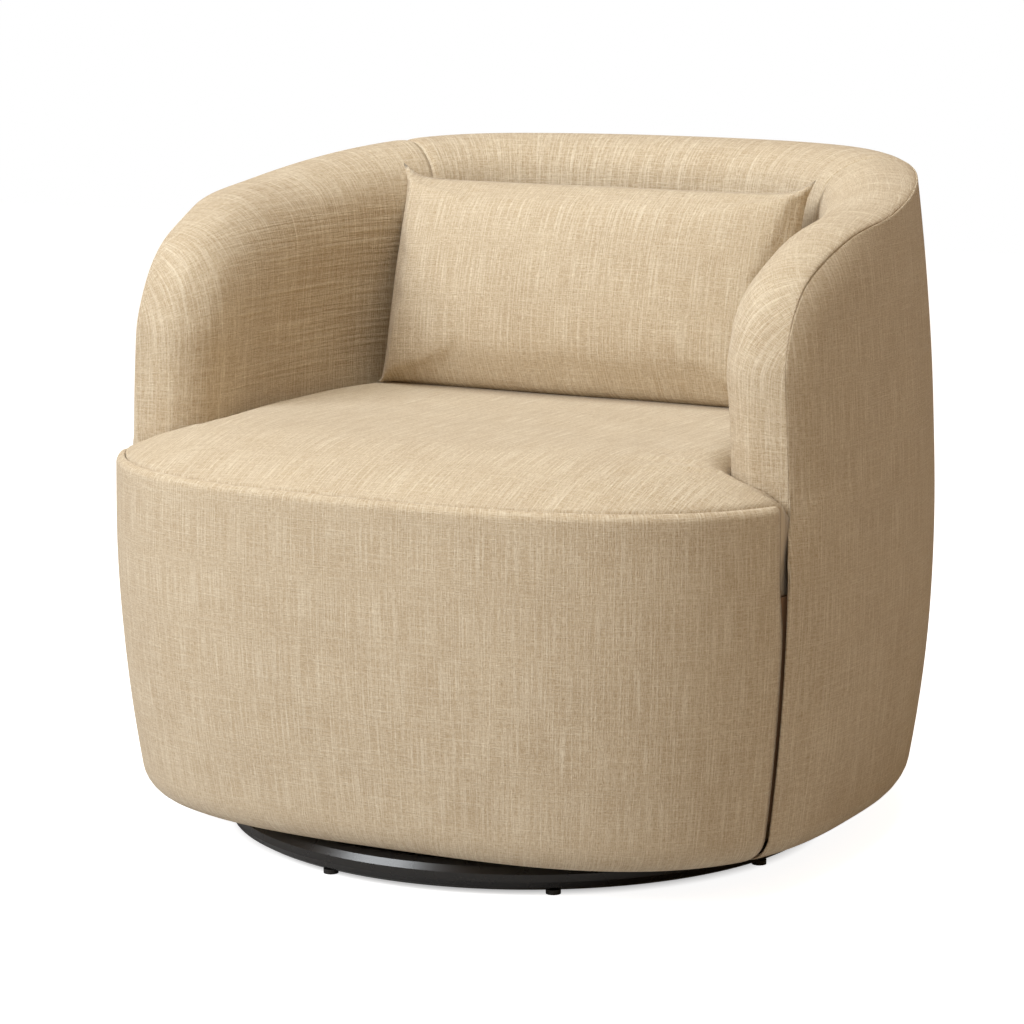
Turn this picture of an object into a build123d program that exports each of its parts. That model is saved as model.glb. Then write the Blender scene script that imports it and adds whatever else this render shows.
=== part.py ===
from build123d import *
import os
from math import asin, atan2, copysign, cos, hypot, pi, sin, sqrt

os.makedirs("parts", exist_ok=True)

# A swivel barrel chair. Millimetres, +Z up, the front of the seat faces -Y.
# The origin is on the floor, under the middle of the chair seen from above.

# ---------------------------------------------------------------- overall size
chair_width = 863.6
chair_depth = 830.6
chair_height = 736.6
seat_height = 417.0  # floor to the seam along the front of the seat
swivel_y = -38.2  # the chair turns about an upright axis here

# ------------------------------------------- body outline, seen from above
front_reach = 366.7  # from the widest line forwards
front_power = 2.84  # 2 is an ellipse, more is squarer
back_power = 2.33

# --------------------------------------- body outline, seen from the side
girth_height = 342.0
lean_height = 300.0
draw_below = 27.5  # how far the body draws in, lean_height below the girth
draw_above = 16.9  # and lean_height above it
floor_clearance = 37.4
bottom_roll = 38.0
outline_sides = 40  # straight lengths that make up the outline from above
crown_steps = 14  # and the top edge from the side
roll_steps = 3
nose_y = -244.2  # front end of the arms
nose_top = 540.0  # where the rounded arm end turns straight
crown_back_y = 331.8  # behind this the top edge is level
crown_mid_y = 15.8
crown_mid_drop = 38.6
crown_slope_y = -108.2  # in front of this the arm end is rounded
crown_slope_drop = 60.6
nose_shoulder_y = -204.2
nose_shoulder_drop = 106.6
nose_face_y = -233.2
nose_face_drop = 154.0
seam_drop = 8.0  # from the crown of the wall to its outer seam

# ------------------------------------------------------------------ upholstery
skin = 6.0  # cover cloth with its wadding
cloth_gap = 0.3
skin_gap = 0.9  # between a cover and the hardboard under it
board_gap = 0.6  # between the hardboard and the boards it is stapled to
front_gap = 4.8  # between the front cover's ends and the arms
liner = 3.0  # hardboard
liner_foot = 82.0
liner_step = 1.0  # least turn between two bends of the hardboard, in degrees
wall_thickness = 114.0  # at the inner face of arms and back
nose_round = 66.0  # length of the rounded inner corner of the arm end
nose_flat = 45.0  # flat left at the very front of the arm end
panel_seam_angle = 45.0  # seams between back and arm panels, from the X axis
roll_shoulder = 26.0
roll_depth = 100.0  # from the crown to where the inner face runs straight down
roll_peak = 0.32  # place of the highest line across the wall
roll_turn = 0.82
crown_inset = 34.0  # the highest line of the wall, inwards from the outline
cavity_depth = 76.0  # frame space in the wall
pad_over_frame = 38.0  # foam over the top of the frame
seat_crown = 40.0  # rise of the seat above its front seam
seat_seam_inset = 9.0
crown_reach = 170.0  # how far in from the seam the seat gets level
crown_power = 2.2  # 1 rises in a straight slope, more rises sooner
seam_fold = 4.2  # width of the folded edges at the front seam
foam_ease = 2.5
foam_inset = 8.5  # from the seam of the cover in to the foam's front edge
foam_lip = 24.0  # clears the spring clips
pad_clearance = 0.6
dust_cover_cloth = 1.0
dust_cover_hole = 206.0
cloth_turn_under = 24.0  # cover cloth tacked to the underside

# ---------------------------------------------------------------- wooden frame
panel_board = 18.0
seat_board = 22.0
seat_board_bottom = 300.0
rail_board = 18.0
post_width = 45.0
post_depth = 30.0
arm_board = 18.0
arm_board_x = 364.0
arm_board_back_y = 111.8
arm_cap = 8.0
arm_cap_width = 20.0
nose_pad = 36.0
back_rail_width = 38.0
post_foot_inset = 6.0  # clears the rounded lower edge of the body
lower_posts = 8
post_turn = 22.5
back_posts = 5
back_post_start = 36.0
centre_band = 230.0
deck_bearing = 40.0  # the springs reach this much past the deck opening
clip_width = 14.0
clip_length = 34.0
felt_width = 450.0
window_width = 560.0
window_length = 520.0
panel_bevel = 29.0  # degrees of the rounded lower edge up to half the board
board_ease = 2.0  # between boards and the skins round them

# ---------------------------------------------------------------- spring deck
spring_rows = 4
spring_spacing = 112.0
spring_wire = 3.8
spring_width = 50.0
spring_pitch = 40.0
spring_bevel = 12.0
spring_tip = 0.28  # where the bevel of a bend ends, as a share of the pitch
spring_sides = 4
spring_runs = 13
spring_rise = 22.0
deck_width = 530.0
deck_front_y = -323.2
clip_plate = 1.6
felt = 4.0
felt_short = 6.0  # the felt stops short of the clips

# -------------------------------------------------------------- steel base
ring_radius = 323.0
ring_tube = 30.0
ring_centre = 20.0
ring_sides = 12
base_turn = 10.0  # degrees, the base against the seat at rest
glides = 8
glide_diameter = 16.0
glide_sides = 16
bar_width = 40.0
bar_height = 20.0
bar_wall = 1.5

# ---------------------------------------------------------- swivel bearing
plate_size = 190.0
plate = 2.5
ball = 7.0
ball_count = 6
ball_sides = 8
ball_circle = 55.0
race_clearance = 0.15
race_width = 14.0
race_gap = 3.3
cage_plate = 1.2
cage_sides = 30
cage_clearance = 0.2
pin_diameter = 12.0
pin_head = 26.0
pin_head_height = 3.0
running_clearance = 0.08
plate_bolt = 6.0
plate_bolt_reach = 80.0
plate_bolt_head = 3.0
plate_bolt_short = 2.0  # the bolt ends this far below the top of the board
pin_foot = 4.0

# -------------------------------------------------------------- lumbar pillow
pillow_width = 524.0
pillow_height = 256.0
pillow_thickness = 118.0
pillow_lean = 17.0
pillow_draw = 9.0  # how far each side is drawn in between the corners
pillow_seam = 4.0
pillow_fullness = 3.2
pillow_fills = (0.0, 0.28, 0.55, 0.76, 0.9, 0.98)
pillow_sides = 24
pillow_x = -8.0
pillow_y = 127.0
pillow_gap = 0.3  # over the top of the seat

# ------------------------------------------------------- worked-out heights
half_width = chair_width / 2
bolt_hole = (plate_bolt + 2 * running_clearance, plate_bolt + 2 * running_clearance)
back_reach = chair_depth - front_reach
widest_y = front_reach - chair_depth / 2
back_y = widest_y + back_reach
frame_inset = skin + skin_gap
rail_inset = frame_inset + liner + board_gap
panel_bottom = floor_clearance + frame_inset
panel_top = panel_bottom + panel_board
seat_board_top = seat_board_bottom + seat_board
spring_span = spring_pitch * (spring_runs - 1)
deck_middle_y = deck_front_y + spring_span / 2


def side_power(y):
    """Exponent and reach of the outline in front of or behind the widest line."""
    return (back_power, back_reach) if y >= 0 else (front_power, front_reach)


def outline_point(angle, inset=0.0):
    """A point of the outline from above, at a polar angle, moved inwards."""
    across, along = cos(angle), sin(angle)
    power, reach = side_power(along)
    radius = (abs(across / half_width) ** power + abs(along / reach) ** power) ** (-1 / power)
    x, y = radius * across, radius * along
    slope_x = copysign(abs(x / half_width) ** (power - 1) / half_width, x)
    slope_y = copysign(abs(y / reach) ** (power - 1) / reach, y)
    size = hypot(slope_x, slope_y)
    return x - inset * slope_x / size, widest_y + y - inset * slope_y / size


def inward(angle):
    """Horizontal direction from the outline into the chair."""
    x0, y0 = outline_point(angle)
    x1, y1 = outline_point(angle, 1.0)
    return x1 - x0, y1 - y0


def draw_in(z):
    """How far the side has drawn in at a height."""
    if z < girth_height:
        return draw_below * ((girth_height - z) / lean_height) ** 2
    return draw_above * ((z - girth_height) / lean_height) ** 2


def half_width_at(y):
    """Half the width of the outline at a distance from the swivel axis."""
    power, reach = side_power(y - widest_y)
    return half_width * (1 - abs((y - widest_y) / reach) ** power) ** (1 / power)


def spread(start, end, count):
    """Evenly spaced values from start to end."""
    return [start + (end - start) * i / count for i in range(count + 1)]


def along_curve(edge, count):
    """Evenly spaced points along a curve."""
    return [edge @ share for share in spread(0.0, 1.0, count)]


def outline(inset):
    """Closed line of the body from above."""
    return Polyline(
        *[outline_point(angle, inset) for angle in spread(0.0, 2 * pi, outline_sides)[:-1]],
        close=True,
    )


def faceted(rings):
    """Closed solid over rings of points, each ring joined to the next by triangles."""
    faces = [Face(Wire.make_polygon(ring, close=True)) for ring in (rings[0], rings[-1])]
    for ring, following in zip(rings, rings[1:]):
        for i in range(len(ring)):
            for corners in (
                (ring[i - 1], ring[i], following[i]),
                (ring[i - 1], following[i], following[i - 1]),
            ):
                faces.append(Face(Wire.make_polygon(corners, close=True)))
    return Solid(Shell(faces))


with BuildLine() as crown:
    Spline(
        (crown_back_y, chair_height),
        (crown_mid_y, chair_height - crown_mid_drop),
        (crown_slope_y, chair_height - crown_slope_drop),
        (nose_shoulder_y, chair_height - nose_shoulder_drop),
        (nose_face_y, chair_height - nose_face_drop),
        (nose_y, nose_top),
        tangents=[(-1, 0), (0, -1)],
    )
crown_edge = crown.edges()[0]


def crown_line(drop=0.0, nose_back=0.0):
    """Top edge of the wall from the side, from the level back down over the arm end."""
    points = []
    for point in along_curve(crown_edge, crown_steps):
        share = min(1.0, max(0.0, (crown_mid_y - point.X) / (crown_mid_y - nose_shoulder_y)))
        points.append((point.X + nose_back * share, point.Y - drop))
    return Polyline(*points)


def under_crown(drop=0.0, nose_back=0.0, bottom=0.0):
    """Side view of the wall below its top edge, as a solid across the whole width."""
    with BuildPart() as solid:
        with BuildSketch(Plane.YZ):
            with BuildLine():
                top = crown_line(drop, nose_back)
                Polyline(
                    top @ 1,
                    (nose_y + nose_back, bottom),
                    (back_y + skin, bottom),
                    (back_y + skin, chair_height - drop),
                    top @ 0,
                )
            make_face()
        extrude(amount=half_width + skin, both=True)
    return solid.part


def wall_width(y):
    """Thickness of the wall at its inner face, drawn in round the arm end."""
    round_start = nose_y + nose_round
    if y >= round_start:
        return wall_thickness
    reach = min(1.0, (round_start - y) / nose_round)
    return nose_flat + (wall_thickness - nose_flat) * sqrt(1 - reach ** 2)


def crown_height(y):
    """Height of the top edge of the wall at a distance from the swivel axis."""
    if y >= crown_back_y:
        return chair_height
    low, high = 0.0, 1.0
    for _ in range(30):
        middle = (low + high) / 2
        low, high = (middle, high) if (crown_edge @ middle).X > y else (low, middle)
    return (crown_edge @ high).Y


def side_station(y):
    """Upright plane across the right arm, its X axis pointing into the chair."""
    return Plane(origin=(half_width_at(y), y, 0), x_dir=(-1, 0, 0), z_dir=(0, 1, 0))


def round_station(angle):
    """Upright plane across the outline at an angle from the X axis, in degrees."""
    x, y = outline_point(angle * pi / 180)
    in_x, in_y = inward(angle * pi / 180)
    return Plane(origin=(x, y, 0), x_dir=(in_x, in_y, 0), z_dir=(in_y, -in_x, 0))


def crown_over(angle):
    """Height of the top edge of the wall at an angle from the X axis, in degrees."""
    return crown_height(outline_point(angle * pi / 180, crown_inset)[1])


# Each station is a plane, the height of the wall there and the wall's thickness.
nose_stations = [nose_y + nose_round * (i / 5) ** 1.6 for i in range(6)]
arm_stations = [
    (side_station(y), crown_height(y), wall_width(y))
    for y in nose_stations + spread(nose_y + nose_round, widest_y, 3)[1:3]
]
arm_stations += [
    (round_station(angle), crown_over(angle), wall_thickness)
    for angle in spread(0.0, panel_seam_angle, 5)
]
back_stations = [
    (round_station(angle), crown_over(angle), wall_thickness)
    for angle in spread(panel_seam_angle, 180.0 - panel_seam_angle, 10)
]

# ------------------------------------------------------------- padded wall


def wall_section(plane, height, width):
    """Cross-section of the padded wall: outer side, rolled top, inner face."""
    foot = seat_board_top + cloth_gap
    seam = height - seam_drop
    middle = (foot + seam) / 2
    near = [frame_inset + pad_clearance + draw_in(z) for z in (foot, middle, seam)]
    span = width - near[2]
    with BuildLine() as rolled:
        rise = Spline(
            (near[2], seam), (near[2] + roll_peak * span, height), tangents=[(0.5, 1), (1, 0)]
        )
        roll = Spline(
            rise @ 1,
            (near[2] + roll_turn * span, height - roll_shoulder),
            (width, height - roll_depth),
            tangents=[(1, 0), (0, -1)],
        )
    top = along_curve(rise, roll_steps) + along_curve(roll, 2 * roll_steps)[1:]
    with BuildSketch(plane) as section:
        with BuildLine():
            Polyline(
                (near[0], foot), (near[1], middle), *top, (width, foot), close=True
            )
        make_face()
    return section.sketch


with BuildPart() as frame_space:
    with BuildSketch(Plane.XY.offset(seat_board_top)):
        with BuildLine():
            outline(-skin)
        make_face()
        with BuildLine():
            outline(cavity_depth)
        make_face(mode=Mode.SUBTRACT)
    extrude(amount=chair_height)
    add(under_crown(pad_over_frame, nose_pad), mode=Mode.INTERSECT)
    split(bisect_by=Plane.XZ.offset(-nose_y - nose_pad), keep=Keep.BOTTOM)


def padded_wall(stations):
    """Foam wall with its cover, hollow where the wooden frame stands."""
    with BuildPart() as solid:
        for plane, height, width in stations:
            add(wall_section(plane, height, width))
        loft(ruled=True)
        add(frame_space.part, mode=Mode.SUBTRACT)
    return solid.part


with BuildPart() as arm_pad_right:
    add(padded_wall(arm_stations))

with BuildPart() as arm_pad_left:
    mirror(arm_pad_right.part, about=Plane.YZ)

with BuildPart() as back_pad:
    add(padded_wall(back_stations))

# ------------------------------------------------------- covers and hardboard


def bent_draw(z, seam):
    """Inward draw of the skins, straight between shared bends up to the outer seam."""
    bends = [floor_clearance, liner_foot, (liner_foot + girth_height) / 2, girth_height]
    bends += [(girth_height + seam) / 2, seam] if seam > girth_height else []
    for low, high in zip(bends, bends[1:]):
        if z <= high:
            share = (z - low) / (high - low)
            return draw_in(low) + share * (draw_in(high) - draw_in(low))
    return draw_in(z)


def cover_section(plane, inset, thick, top, top_roll, foot, seam):
    """Cross-section of an upright skin, rolled under the body if foot is None."""
    roll = bottom_roll - inset
    slope = sin(2 * draw_below * (girth_height - floor_clearance - roll) / lean_height**2)
    start = floor_clearance + inset + roll * (1 - slope) if foot is None else foot
    levels = [girth_height, (liner_foot + girth_height) / 2, start]
    if top - top_roll > girth_height:
        levels = [top - top_roll, (girth_height + seam) / 2] + levels
    else:
        levels = [top] + levels[1:]
    outer = [(inset + bent_draw(z, seam), z) for z in levels]
    inner = [(inset + thick + bent_draw(z, seam), z) for z in levels]
    if foot is None:
        turned = spread(asin(slope), pi / 2, roll_steps)[1:]
        centre_x = outer[-1][0] + roll * cos(asin(slope))
        centre_z = floor_clearance + inset + roll
        for turn in turned:
            outer.append((centre_x - roll * cos(turn), centre_z - roll * sin(turn)))
            inner.append(
                (centre_x - (roll - thick) * cos(turn), centre_z - (roll - thick) * sin(turn))
            )
        tack = centre_x + cloth_turn_under
        outer.append((tack, outer[-1][1]))
        inner.append((tack, inner[-1][1]))
    if top_roll:
        edge_x = top_roll + outer[0][0]
        outer.insert(0, (edge_x - top_roll * (1 - sqrt(0.5)), top - top_roll * (1 - sqrt(0.5))))
        outer.insert(0, (edge_x, top))
        inner.insert(0, (edge_x + thick, top - thick))
    with BuildSketch(plane) as section:
        with BuildLine():
            Polyline(*outer, *reversed(inner), close=True)
        make_face()
    return section.sketch


def angle_at(y):
    """Angle of the outline from the X axis, on the right side, in degrees."""
    return atan2(y - widest_y, half_width_at(y)) * 180 / pi


def skin_round(angles, inset, thick, top, top_roll=0.0, foot=None):
    """A skin that follows the body between the first and the last angle."""
    with BuildPart() as solid:
        for angle in angles:
            height = top(angle) if callable(top) else top
            seam = seam_over(angle) if callable(top) else seat_height - seat_seam_inset
            plane = round_station(angle)
            add(cover_section(plane, inset, thick, height, top_roll, foot, seam))
        loft(ruled=True)
    return solid.part


def wall_over(angle):
    """Height of the top edge of the wall above the outline."""
    return crown_height(outline_point(angle * pi / 180)[1])


def seam_over(angle):
    """Height of the outer seam of the wall."""
    return wall_over(angle) - seam_drop


def liner_over(angle):
    """Height of the top of the hardboard."""
    return crown_height(outline_point(angle * pi / 180)[1] - nose_pad) - pad_over_frame


front_angle = angle_at(nose_y - front_gap)
front_angles = spread(-180.0 - front_angle, front_angle, 14)
side_angles = [angle_at(y) for y in nose_stations]
side_angles += spread(side_angles[-1], 0.0, 3)[1:] + spread(0.0, 90.0, 11)[1:]
side_angles += [180.0 - angle for angle in reversed(side_angles[:-1])]

with BuildPart() as front_cover:
    add(skin_round(front_angles, 0.0, skin, seat_height, seat_seam_inset))

with BuildPart() as outside_cover:
    add(skin_round(side_angles, 0.0, skin, seam_over))

liner_front_y = nose_y + nose_pad
liner_angle = angle_at(liner_front_y)
liner_angles = [-180.0 - liner_angle] + front_angles + [liner_angle]
outer_liner_angles = [angle for angle in side_angles if angle > liner_angle + liner_step]
outer_liner_angles = [
    angle_at(liner_front_y + cloth_gap),
    *[angle for angle in outer_liner_angles if angle < 180.0 - liner_angle - liner_step],
    180.0 - angle_at(liner_front_y + cloth_gap),
]

with BuildPart() as front_liner:
    add(skin_round(liner_angles, frame_inset, liner, seat_board_top, 0.0, liner_foot))

with BuildPart() as outer_liner:
    add(skin_round(outer_liner_angles, frame_inset, liner, liner_over, 0.0, liner_foot))

# --------------------------------------------------------------- tight seat


def seat_outline(edge_inset):
    """T-shaped outline of the seat: between the arms, and full width before them."""
    ear_y = nose_y - cloth_gap
    inner = []
    for plane, _, width in arm_stations[:-1] + back_stations[:6]:
        point = plane.origin + plane.x_dir * (width + pad_clearance)
        inner.append((point.X, max(point.Y, ear_y)))
    inner[0] = (inner[0][0], ear_y)
    left = [(-x, y) for x, y in reversed(inner[:-1])]
    neck = Polyline(*inner, *left)
    ear_x = half_width_at(ear_y) - edge_inset
    front = Polyline(
        (-ear_x, ear_y),
        *[outline_point(angle * pi / 180, edge_inset) for angle in front_angles[1:-1]],
        (ear_x, ear_y),
    )
    Line(neck @ 0, front @ 1)
    Line(neck @ 1, front @ 0)


def seat_dome(drop):
    """Crowned top of the seat over the whole body, lowered by a distance."""
    levels = [(seat_board_top - drop, seat_seam_inset)]
    for share in spread(0.0, 1.0, 3):
        rise = seat_crown * (1 - (1 - share) ** crown_power)
        levels.append((seat_height - drop + rise, seat_seam_inset + crown_reach * share))
    angles = spread(0.0, 2 * pi, outline_sides)[:-1]
    return faceted(
        [[(*outline_point(angle, inset), z) for angle in angles] for z, inset in levels]
    )


def spring_height(y):
    """Height of the arched springs over the deck."""
    reach = (y - deck_middle_y) / (spring_span / 2)
    return seat_board_top + clip_plate + spring_wire / 2 + spring_rise * (1 - reach**2)


with BuildPart() as seat_cover:
    with BuildSketch(Plane.XY.offset(seat_height)):
        with BuildLine():
            seat_outline(seat_seam_inset + seam_fold)
        make_face()
    extrude(amount=seat_crown)
    add(seat_dome(0.0), mode=Mode.INTERSECT)
    add(seat_dome(skin), mode=Mode.SUBTRACT)

with BuildPart() as seat_foam:
    with BuildSketch(Plane.XY.offset(seat_board_top + cloth_gap)):
        with BuildLine():
            seat_outline(seat_seam_inset + foam_inset)
        make_face()
    extrude(amount=seat_crown + seat_height - seat_board_top)
    add(seat_dome(skin + cloth_gap + foam_ease), mode=Mode.INTERSECT)
    with BuildSketch(Plane.YZ):
        with BuildLine():
            over = spring_wire / 2 + felt + 2 * cloth_gap
            front_end, back_end = (deck_middle_y - side * spring_span / 2 for side in (1, -1))
            low = spring_height(front_end) + over
            arch = ThreePointArc(
                (front_end, low),
                (deck_middle_y, spring_height(deck_middle_y) + over),
                (back_end, low),
            )
            Polyline(
                arch @ 1,
                (back_end + foam_lip, low),
                (back_end + foam_lip, seat_board_top),
                (front_end - foam_lip, seat_board_top),
                (front_end - foam_lip, low),
                arch @ 0,
            )
        make_face()
    extrude(amount=deck_width / 2, both=True, mode=Mode.SUBTRACT)


# ------------------------------------------------------------- wooden frame

with BuildPart() as base_panel:
    roll = bottom_roll - frame_inset
    edge_inset = frame_inset + board_ease + draw_in(panel_bottom)
    for height, inset in (
        (0.0, edge_inset + roll),
        (panel_board / 2, edge_inset + roll * (1 - sin(panel_bevel * pi / 180))),
        (panel_board, edge_inset + roll * (1 - sin(2 * panel_bevel * pi / 180))),
    ):
        with BuildSketch(Plane.XY.offset(panel_bottom + height)):
            with BuildLine():
                outline(inset)
            make_face()
    loft(ruled=True)
    with BuildSketch(Plane.XY.offset(panel_bottom)):
        with Locations((0, swivel_y)):
            Rectangle(window_width, window_length)
            Rectangle(centre_band, window_length, mode=Mode.SUBTRACT)
            Rectangle(window_width, centre_band, mode=Mode.SUBTRACT)
            RegularPolygon(pin_head / 2 + pin_head_height, 6)
            with GridLocations(2 * plate_bolt_reach, 2 * plate_bolt_reach, 2, 2):
                Rectangle(*bolt_hole)
    extrude(amount=panel_board, mode=Mode.SUBTRACT)

post_inset = rail_inset + draw_in(panel_top) + post_foot_inset
post_angles = [post_turn + 360.0 * i / lower_posts for i in range(lower_posts)]
lower_post = []
for angle in post_angles:
    station = round_station(angle)
    with BuildPart() as post:
        with BuildSketch(Plane(station.origin + Vector(0, 0, panel_top), x_dir=station.x_dir)):
            with Locations((post_inset + post_depth / 2, 0)):
                Rectangle(post_depth, post_width)
        extrude(amount=seat_board_bottom - panel_top)
    lower_post.append(post.part)

with BuildPart() as seat_board_ring:
    with BuildSketch(Plane.XY.offset(seat_board_bottom)):
        with BuildLine():
            outline(rail_inset + board_ease + draw_in(seat_board_bottom))
        make_face()
        with Locations((0, deck_middle_y)):
            Rectangle(deck_width, spring_span - deck_bearing, mode=Mode.SUBTRACT)
    extrude(amount=seat_board)

with BuildPart() as arm_board_right:
    with BuildSketch(Plane.YZ.offset(arm_board_x)):
        with BuildLine():
            edge = crown_line(pad_over_frame + cloth_gap + arm_cap, nose_pad + cloth_gap)
            front_y = nose_y + nose_pad + cloth_gap
            Polyline(
                edge @ 1,
                (front_y, seat_board_top),
                (back_y, seat_board_top),
                (back_y, (edge @ 0).Y),
                edge @ 0,
            )
        make_face()
        with Locations((back_y, (seat_board_top + chair_height) / 2)):
            Rectangle(2 * (back_y - arm_board_back_y), chair_height, mode=Mode.SUBTRACT)
    extrude(amount=arm_board)

with BuildPart() as arm_board_left:
    mirror(arm_board_right.part, about=Plane.YZ)


def crown_band(top_drop, bottom_drop):
    """Everything between two copies of the lowered crown line."""
    with BuildPart() as band:
        add(under_crown(top_drop, nose_pad + cloth_gap))
        add(under_crown(bottom_drop, nose_pad + cloth_gap), mode=Mode.SUBTRACT)
    return band.part


cap_drop = pad_over_frame + cloth_gap
with BuildPart() as arm_cap_right:
    with BuildSketch(Plane.XY.offset(seat_board_top)):
        cap_middle = arm_board_x + arm_board / 2
        cap_length = arm_board_back_y - nose_y
        with Locations((cap_middle, arm_board_back_y - cap_length / 2)):
            Rectangle(arm_cap_width, cap_length)
    extrude(amount=chair_height)
    add(crown_band(cap_drop, cap_drop + arm_cap), mode=Mode.INTERSECT)

with BuildPart() as arm_cap_left:
    mirror(arm_cap_right.part, about=Plane.YZ)

top_rail_inset = rail_inset + board_ease + draw_in(chair_height - pad_over_frame)
with BuildPart() as back_rail:
    with BuildSketch(Plane.XY.offset(seat_board_top)):
        with BuildLine():
            outline(top_rail_inset)
        make_face()
        with BuildLine():
            outline(top_rail_inset + back_rail_width)
        make_face(mode=Mode.SUBTRACT)
        with Locations((0, arm_board_back_y - chair_depth)):
            Rectangle(2 * chair_width, 2 * chair_depth, mode=Mode.SUBTRACT)
    extrude(amount=chair_height)
    add(crown_band(cap_drop, cap_drop + rail_board), mode=Mode.INTERSECT)

back_post = []
under_rail = under_crown(cap_drop + rail_board, nose_pad)
for angle in spread(back_post_start, 180.0 - back_post_start, back_posts - 1):
    station = round_station(angle)
    with BuildPart() as post:
        with BuildSketch(Plane(station.origin + Vector(0, 0, seat_board_top), x_dir=station.x_dir)):
            with Locations((top_rail_inset + back_rail_width / 2, 0)):
                Rectangle(post_depth, post_width)
        extrude(amount=chair_height)
        add(under_rail, mode=Mode.INTERSECT)
    back_post.append(post.part)

# -------------------------------------------------------------- spring deck

spring_ys = spread(deck_front_y, deck_front_y + spring_span, spring_runs - 1)
row_xs = [spring_spacing * (i - (spring_rows - 1) / 2) for i in range(spring_rows)]


def zigzag(x):
    """Centre line of one arched spring: cross runs joined by bevelled bends."""
    points = []
    side = -1
    for y in spring_ys:
        z = spring_height(y)
        reach = spring_width / 2 - spring_bevel
        if points:
            before = points[-1]
            step = Vector(0, y - before.Y, z - before.Z)
            tip = Vector(x + side * spring_width / 2, before.Y, before.Z)
            points += [tip + step * spring_tip, tip + step * (1 - spring_tip)]
        points.append(Vector(x + side * reach, y, z))
        side = -side
        points.append(Vector(x + side * reach, y, z))
    return points


springs = []
for x in row_xs:
    with BuildPart() as spring:
        with BuildLine() as wire:
            route = Polyline(*zigzag(x))
        with BuildSketch(Plane(origin=route @ 0, z_dir=route % 0)):
            RegularPolygon(spring_wire / 2, spring_sides)
        sweep(path=wire.wires()[0], transition=Transition.RIGHT)
    springs.append(spring.part)

with BuildPart() as spring_clips:
    hold = spring_wire / 2 + cloth_gap
    for side, y in ((1, spring_ys[0]), (-1, spring_ys[-1])):
        low, high = seat_board_top + clip_plate, spring_height(y) + hold
        with BuildLine() as loop:
            Polyline(
                (y - side * clip_length / 2, low),
                (y - side * (hold + clip_plate), low),
                (y - side * (hold + clip_plate), high + clip_plate),
                (y + side * hold, high + clip_plate),
                (y + side * hold, high),
                (y - side * hold, high),
                (y - side * hold, seat_board_top),
                (y - side * clip_length / 2, seat_board_top),
                close=True,
            )
        for x in row_xs:
            with BuildSketch(Plane.YZ.offset(x - clip_width / 2)):
                add(loop.line)
                make_face()
            extrude(amount=clip_width)

with BuildPart() as spring_felt:
    with BuildSketch(Plane.YZ.offset(-felt_width / 2)):
        with BuildLine():
            ends = [deck_middle_y - side * (spring_span / 2 - felt_short) for side in (-1, 1)]
            lift = spring_wire / 2 + cloth_gap
            middle_z = spring_height(deck_middle_y) + lift
            end_z = spring_height(ends[0]) + lift
            lower = ThreePointArc((ends[0], end_z), (deck_middle_y, middle_z), (ends[1], end_z))
            upper = ThreePointArc(
                (ends[0], end_z + felt), (deck_middle_y, middle_z + felt), (ends[1], end_z + felt)
            )
            Line(lower @ 0, upper @ 0)
            Line(lower @ 1, upper @ 1)
        make_face()
    extrude(amount=felt_width)

with BuildPart() as dust_cover:
    with BuildSketch(Plane.XY.offset(panel_bottom - cloth_gap - dust_cover_cloth)):
        with BuildLine():
            outline(bottom_roll + cloth_turn_under + pad_clearance + draw_in(floor_clearance))
        make_face()
        with Locations((0, swivel_y)):
            Rectangle(dust_cover_hole, dust_cover_hole, mode=Mode.SUBTRACT)
    extrude(amount=dust_cover_cloth)

# ------------------------------------------------------------- swivel base

swivel = Plane((0, swivel_y, 0))
swivel_axis = Axis((0, swivel_y, 0), (0, 0, 1))
turned = swivel.rotated((0, 0, base_turn))
bar_top = ring_centre + bar_height / 2

with BuildPart() as base_ring:
    with BuildSketch(Plane.XZ.offset(-swivel_y)):
        with Locations((ring_radius, ring_centre)):
            RegularPolygon(ring_tube / 2, ring_sides, major_radius=False, rotation=180 / ring_sides)
    revolve(axis=swivel_axis)

with BuildPart() as floor_glides:
    with BuildSketch(swivel):
        with PolarLocations(ring_radius, glides, start_angle=base_turn + 180.0 / glides):
            RegularPolygon(glide_diameter / 2, glide_sides)
    extrude(amount=ring_centre - ring_tube / 2)


def cross_bar(start, end, across):
    """Rectangular tube between two distances from the axis, saddled to the ring."""
    along = turned.y_dir if across else turned.x_dir
    origin = turned.origin + along * start + Vector(0, 0, ring_centre)
    with BuildPart() as bar:
        with BuildSketch(Plane(origin, x_dir=along.rotate(Axis.Z, 90), z_dir=along)):
            Rectangle(bar_width, bar_height)
            Rectangle(bar_width - 2 * bar_wall, bar_height - 2 * bar_wall, mode=Mode.SUBTRACT)
        extrude(amount=end - start)
        add(base_ring.part, mode=Mode.SUBTRACT)
        if not across:
            with BuildSketch(swivel.offset(ring_centre)):
                Circle(pin_diameter / 2 + running_clearance)
            extrude(amount=bar_height / 2, mode=Mode.SUBTRACT)
    return bar.solids().sort_by(SortBy.VOLUME)[-1]


with BuildPart() as cross_bar_long:
    add(cross_bar(-ring_radius, ring_radius, False))

with BuildPart() as cross_bar_front:
    add(cross_bar(-ring_radius, -bar_width / 2, True))

with BuildPart() as cross_bar_back:
    add(cross_bar(bar_width / 2, ring_radius, True))

# ---------------------------------------------------------- swivel bearing

lower_top = bar_top + plate
upper_bottom = panel_bottom - plate
ball_centre = (lower_top + upper_bottom) / 2
race = (upper_bottom - lower_top - race_gap) / 2
groove = ball + 2 * race_clearance


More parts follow.
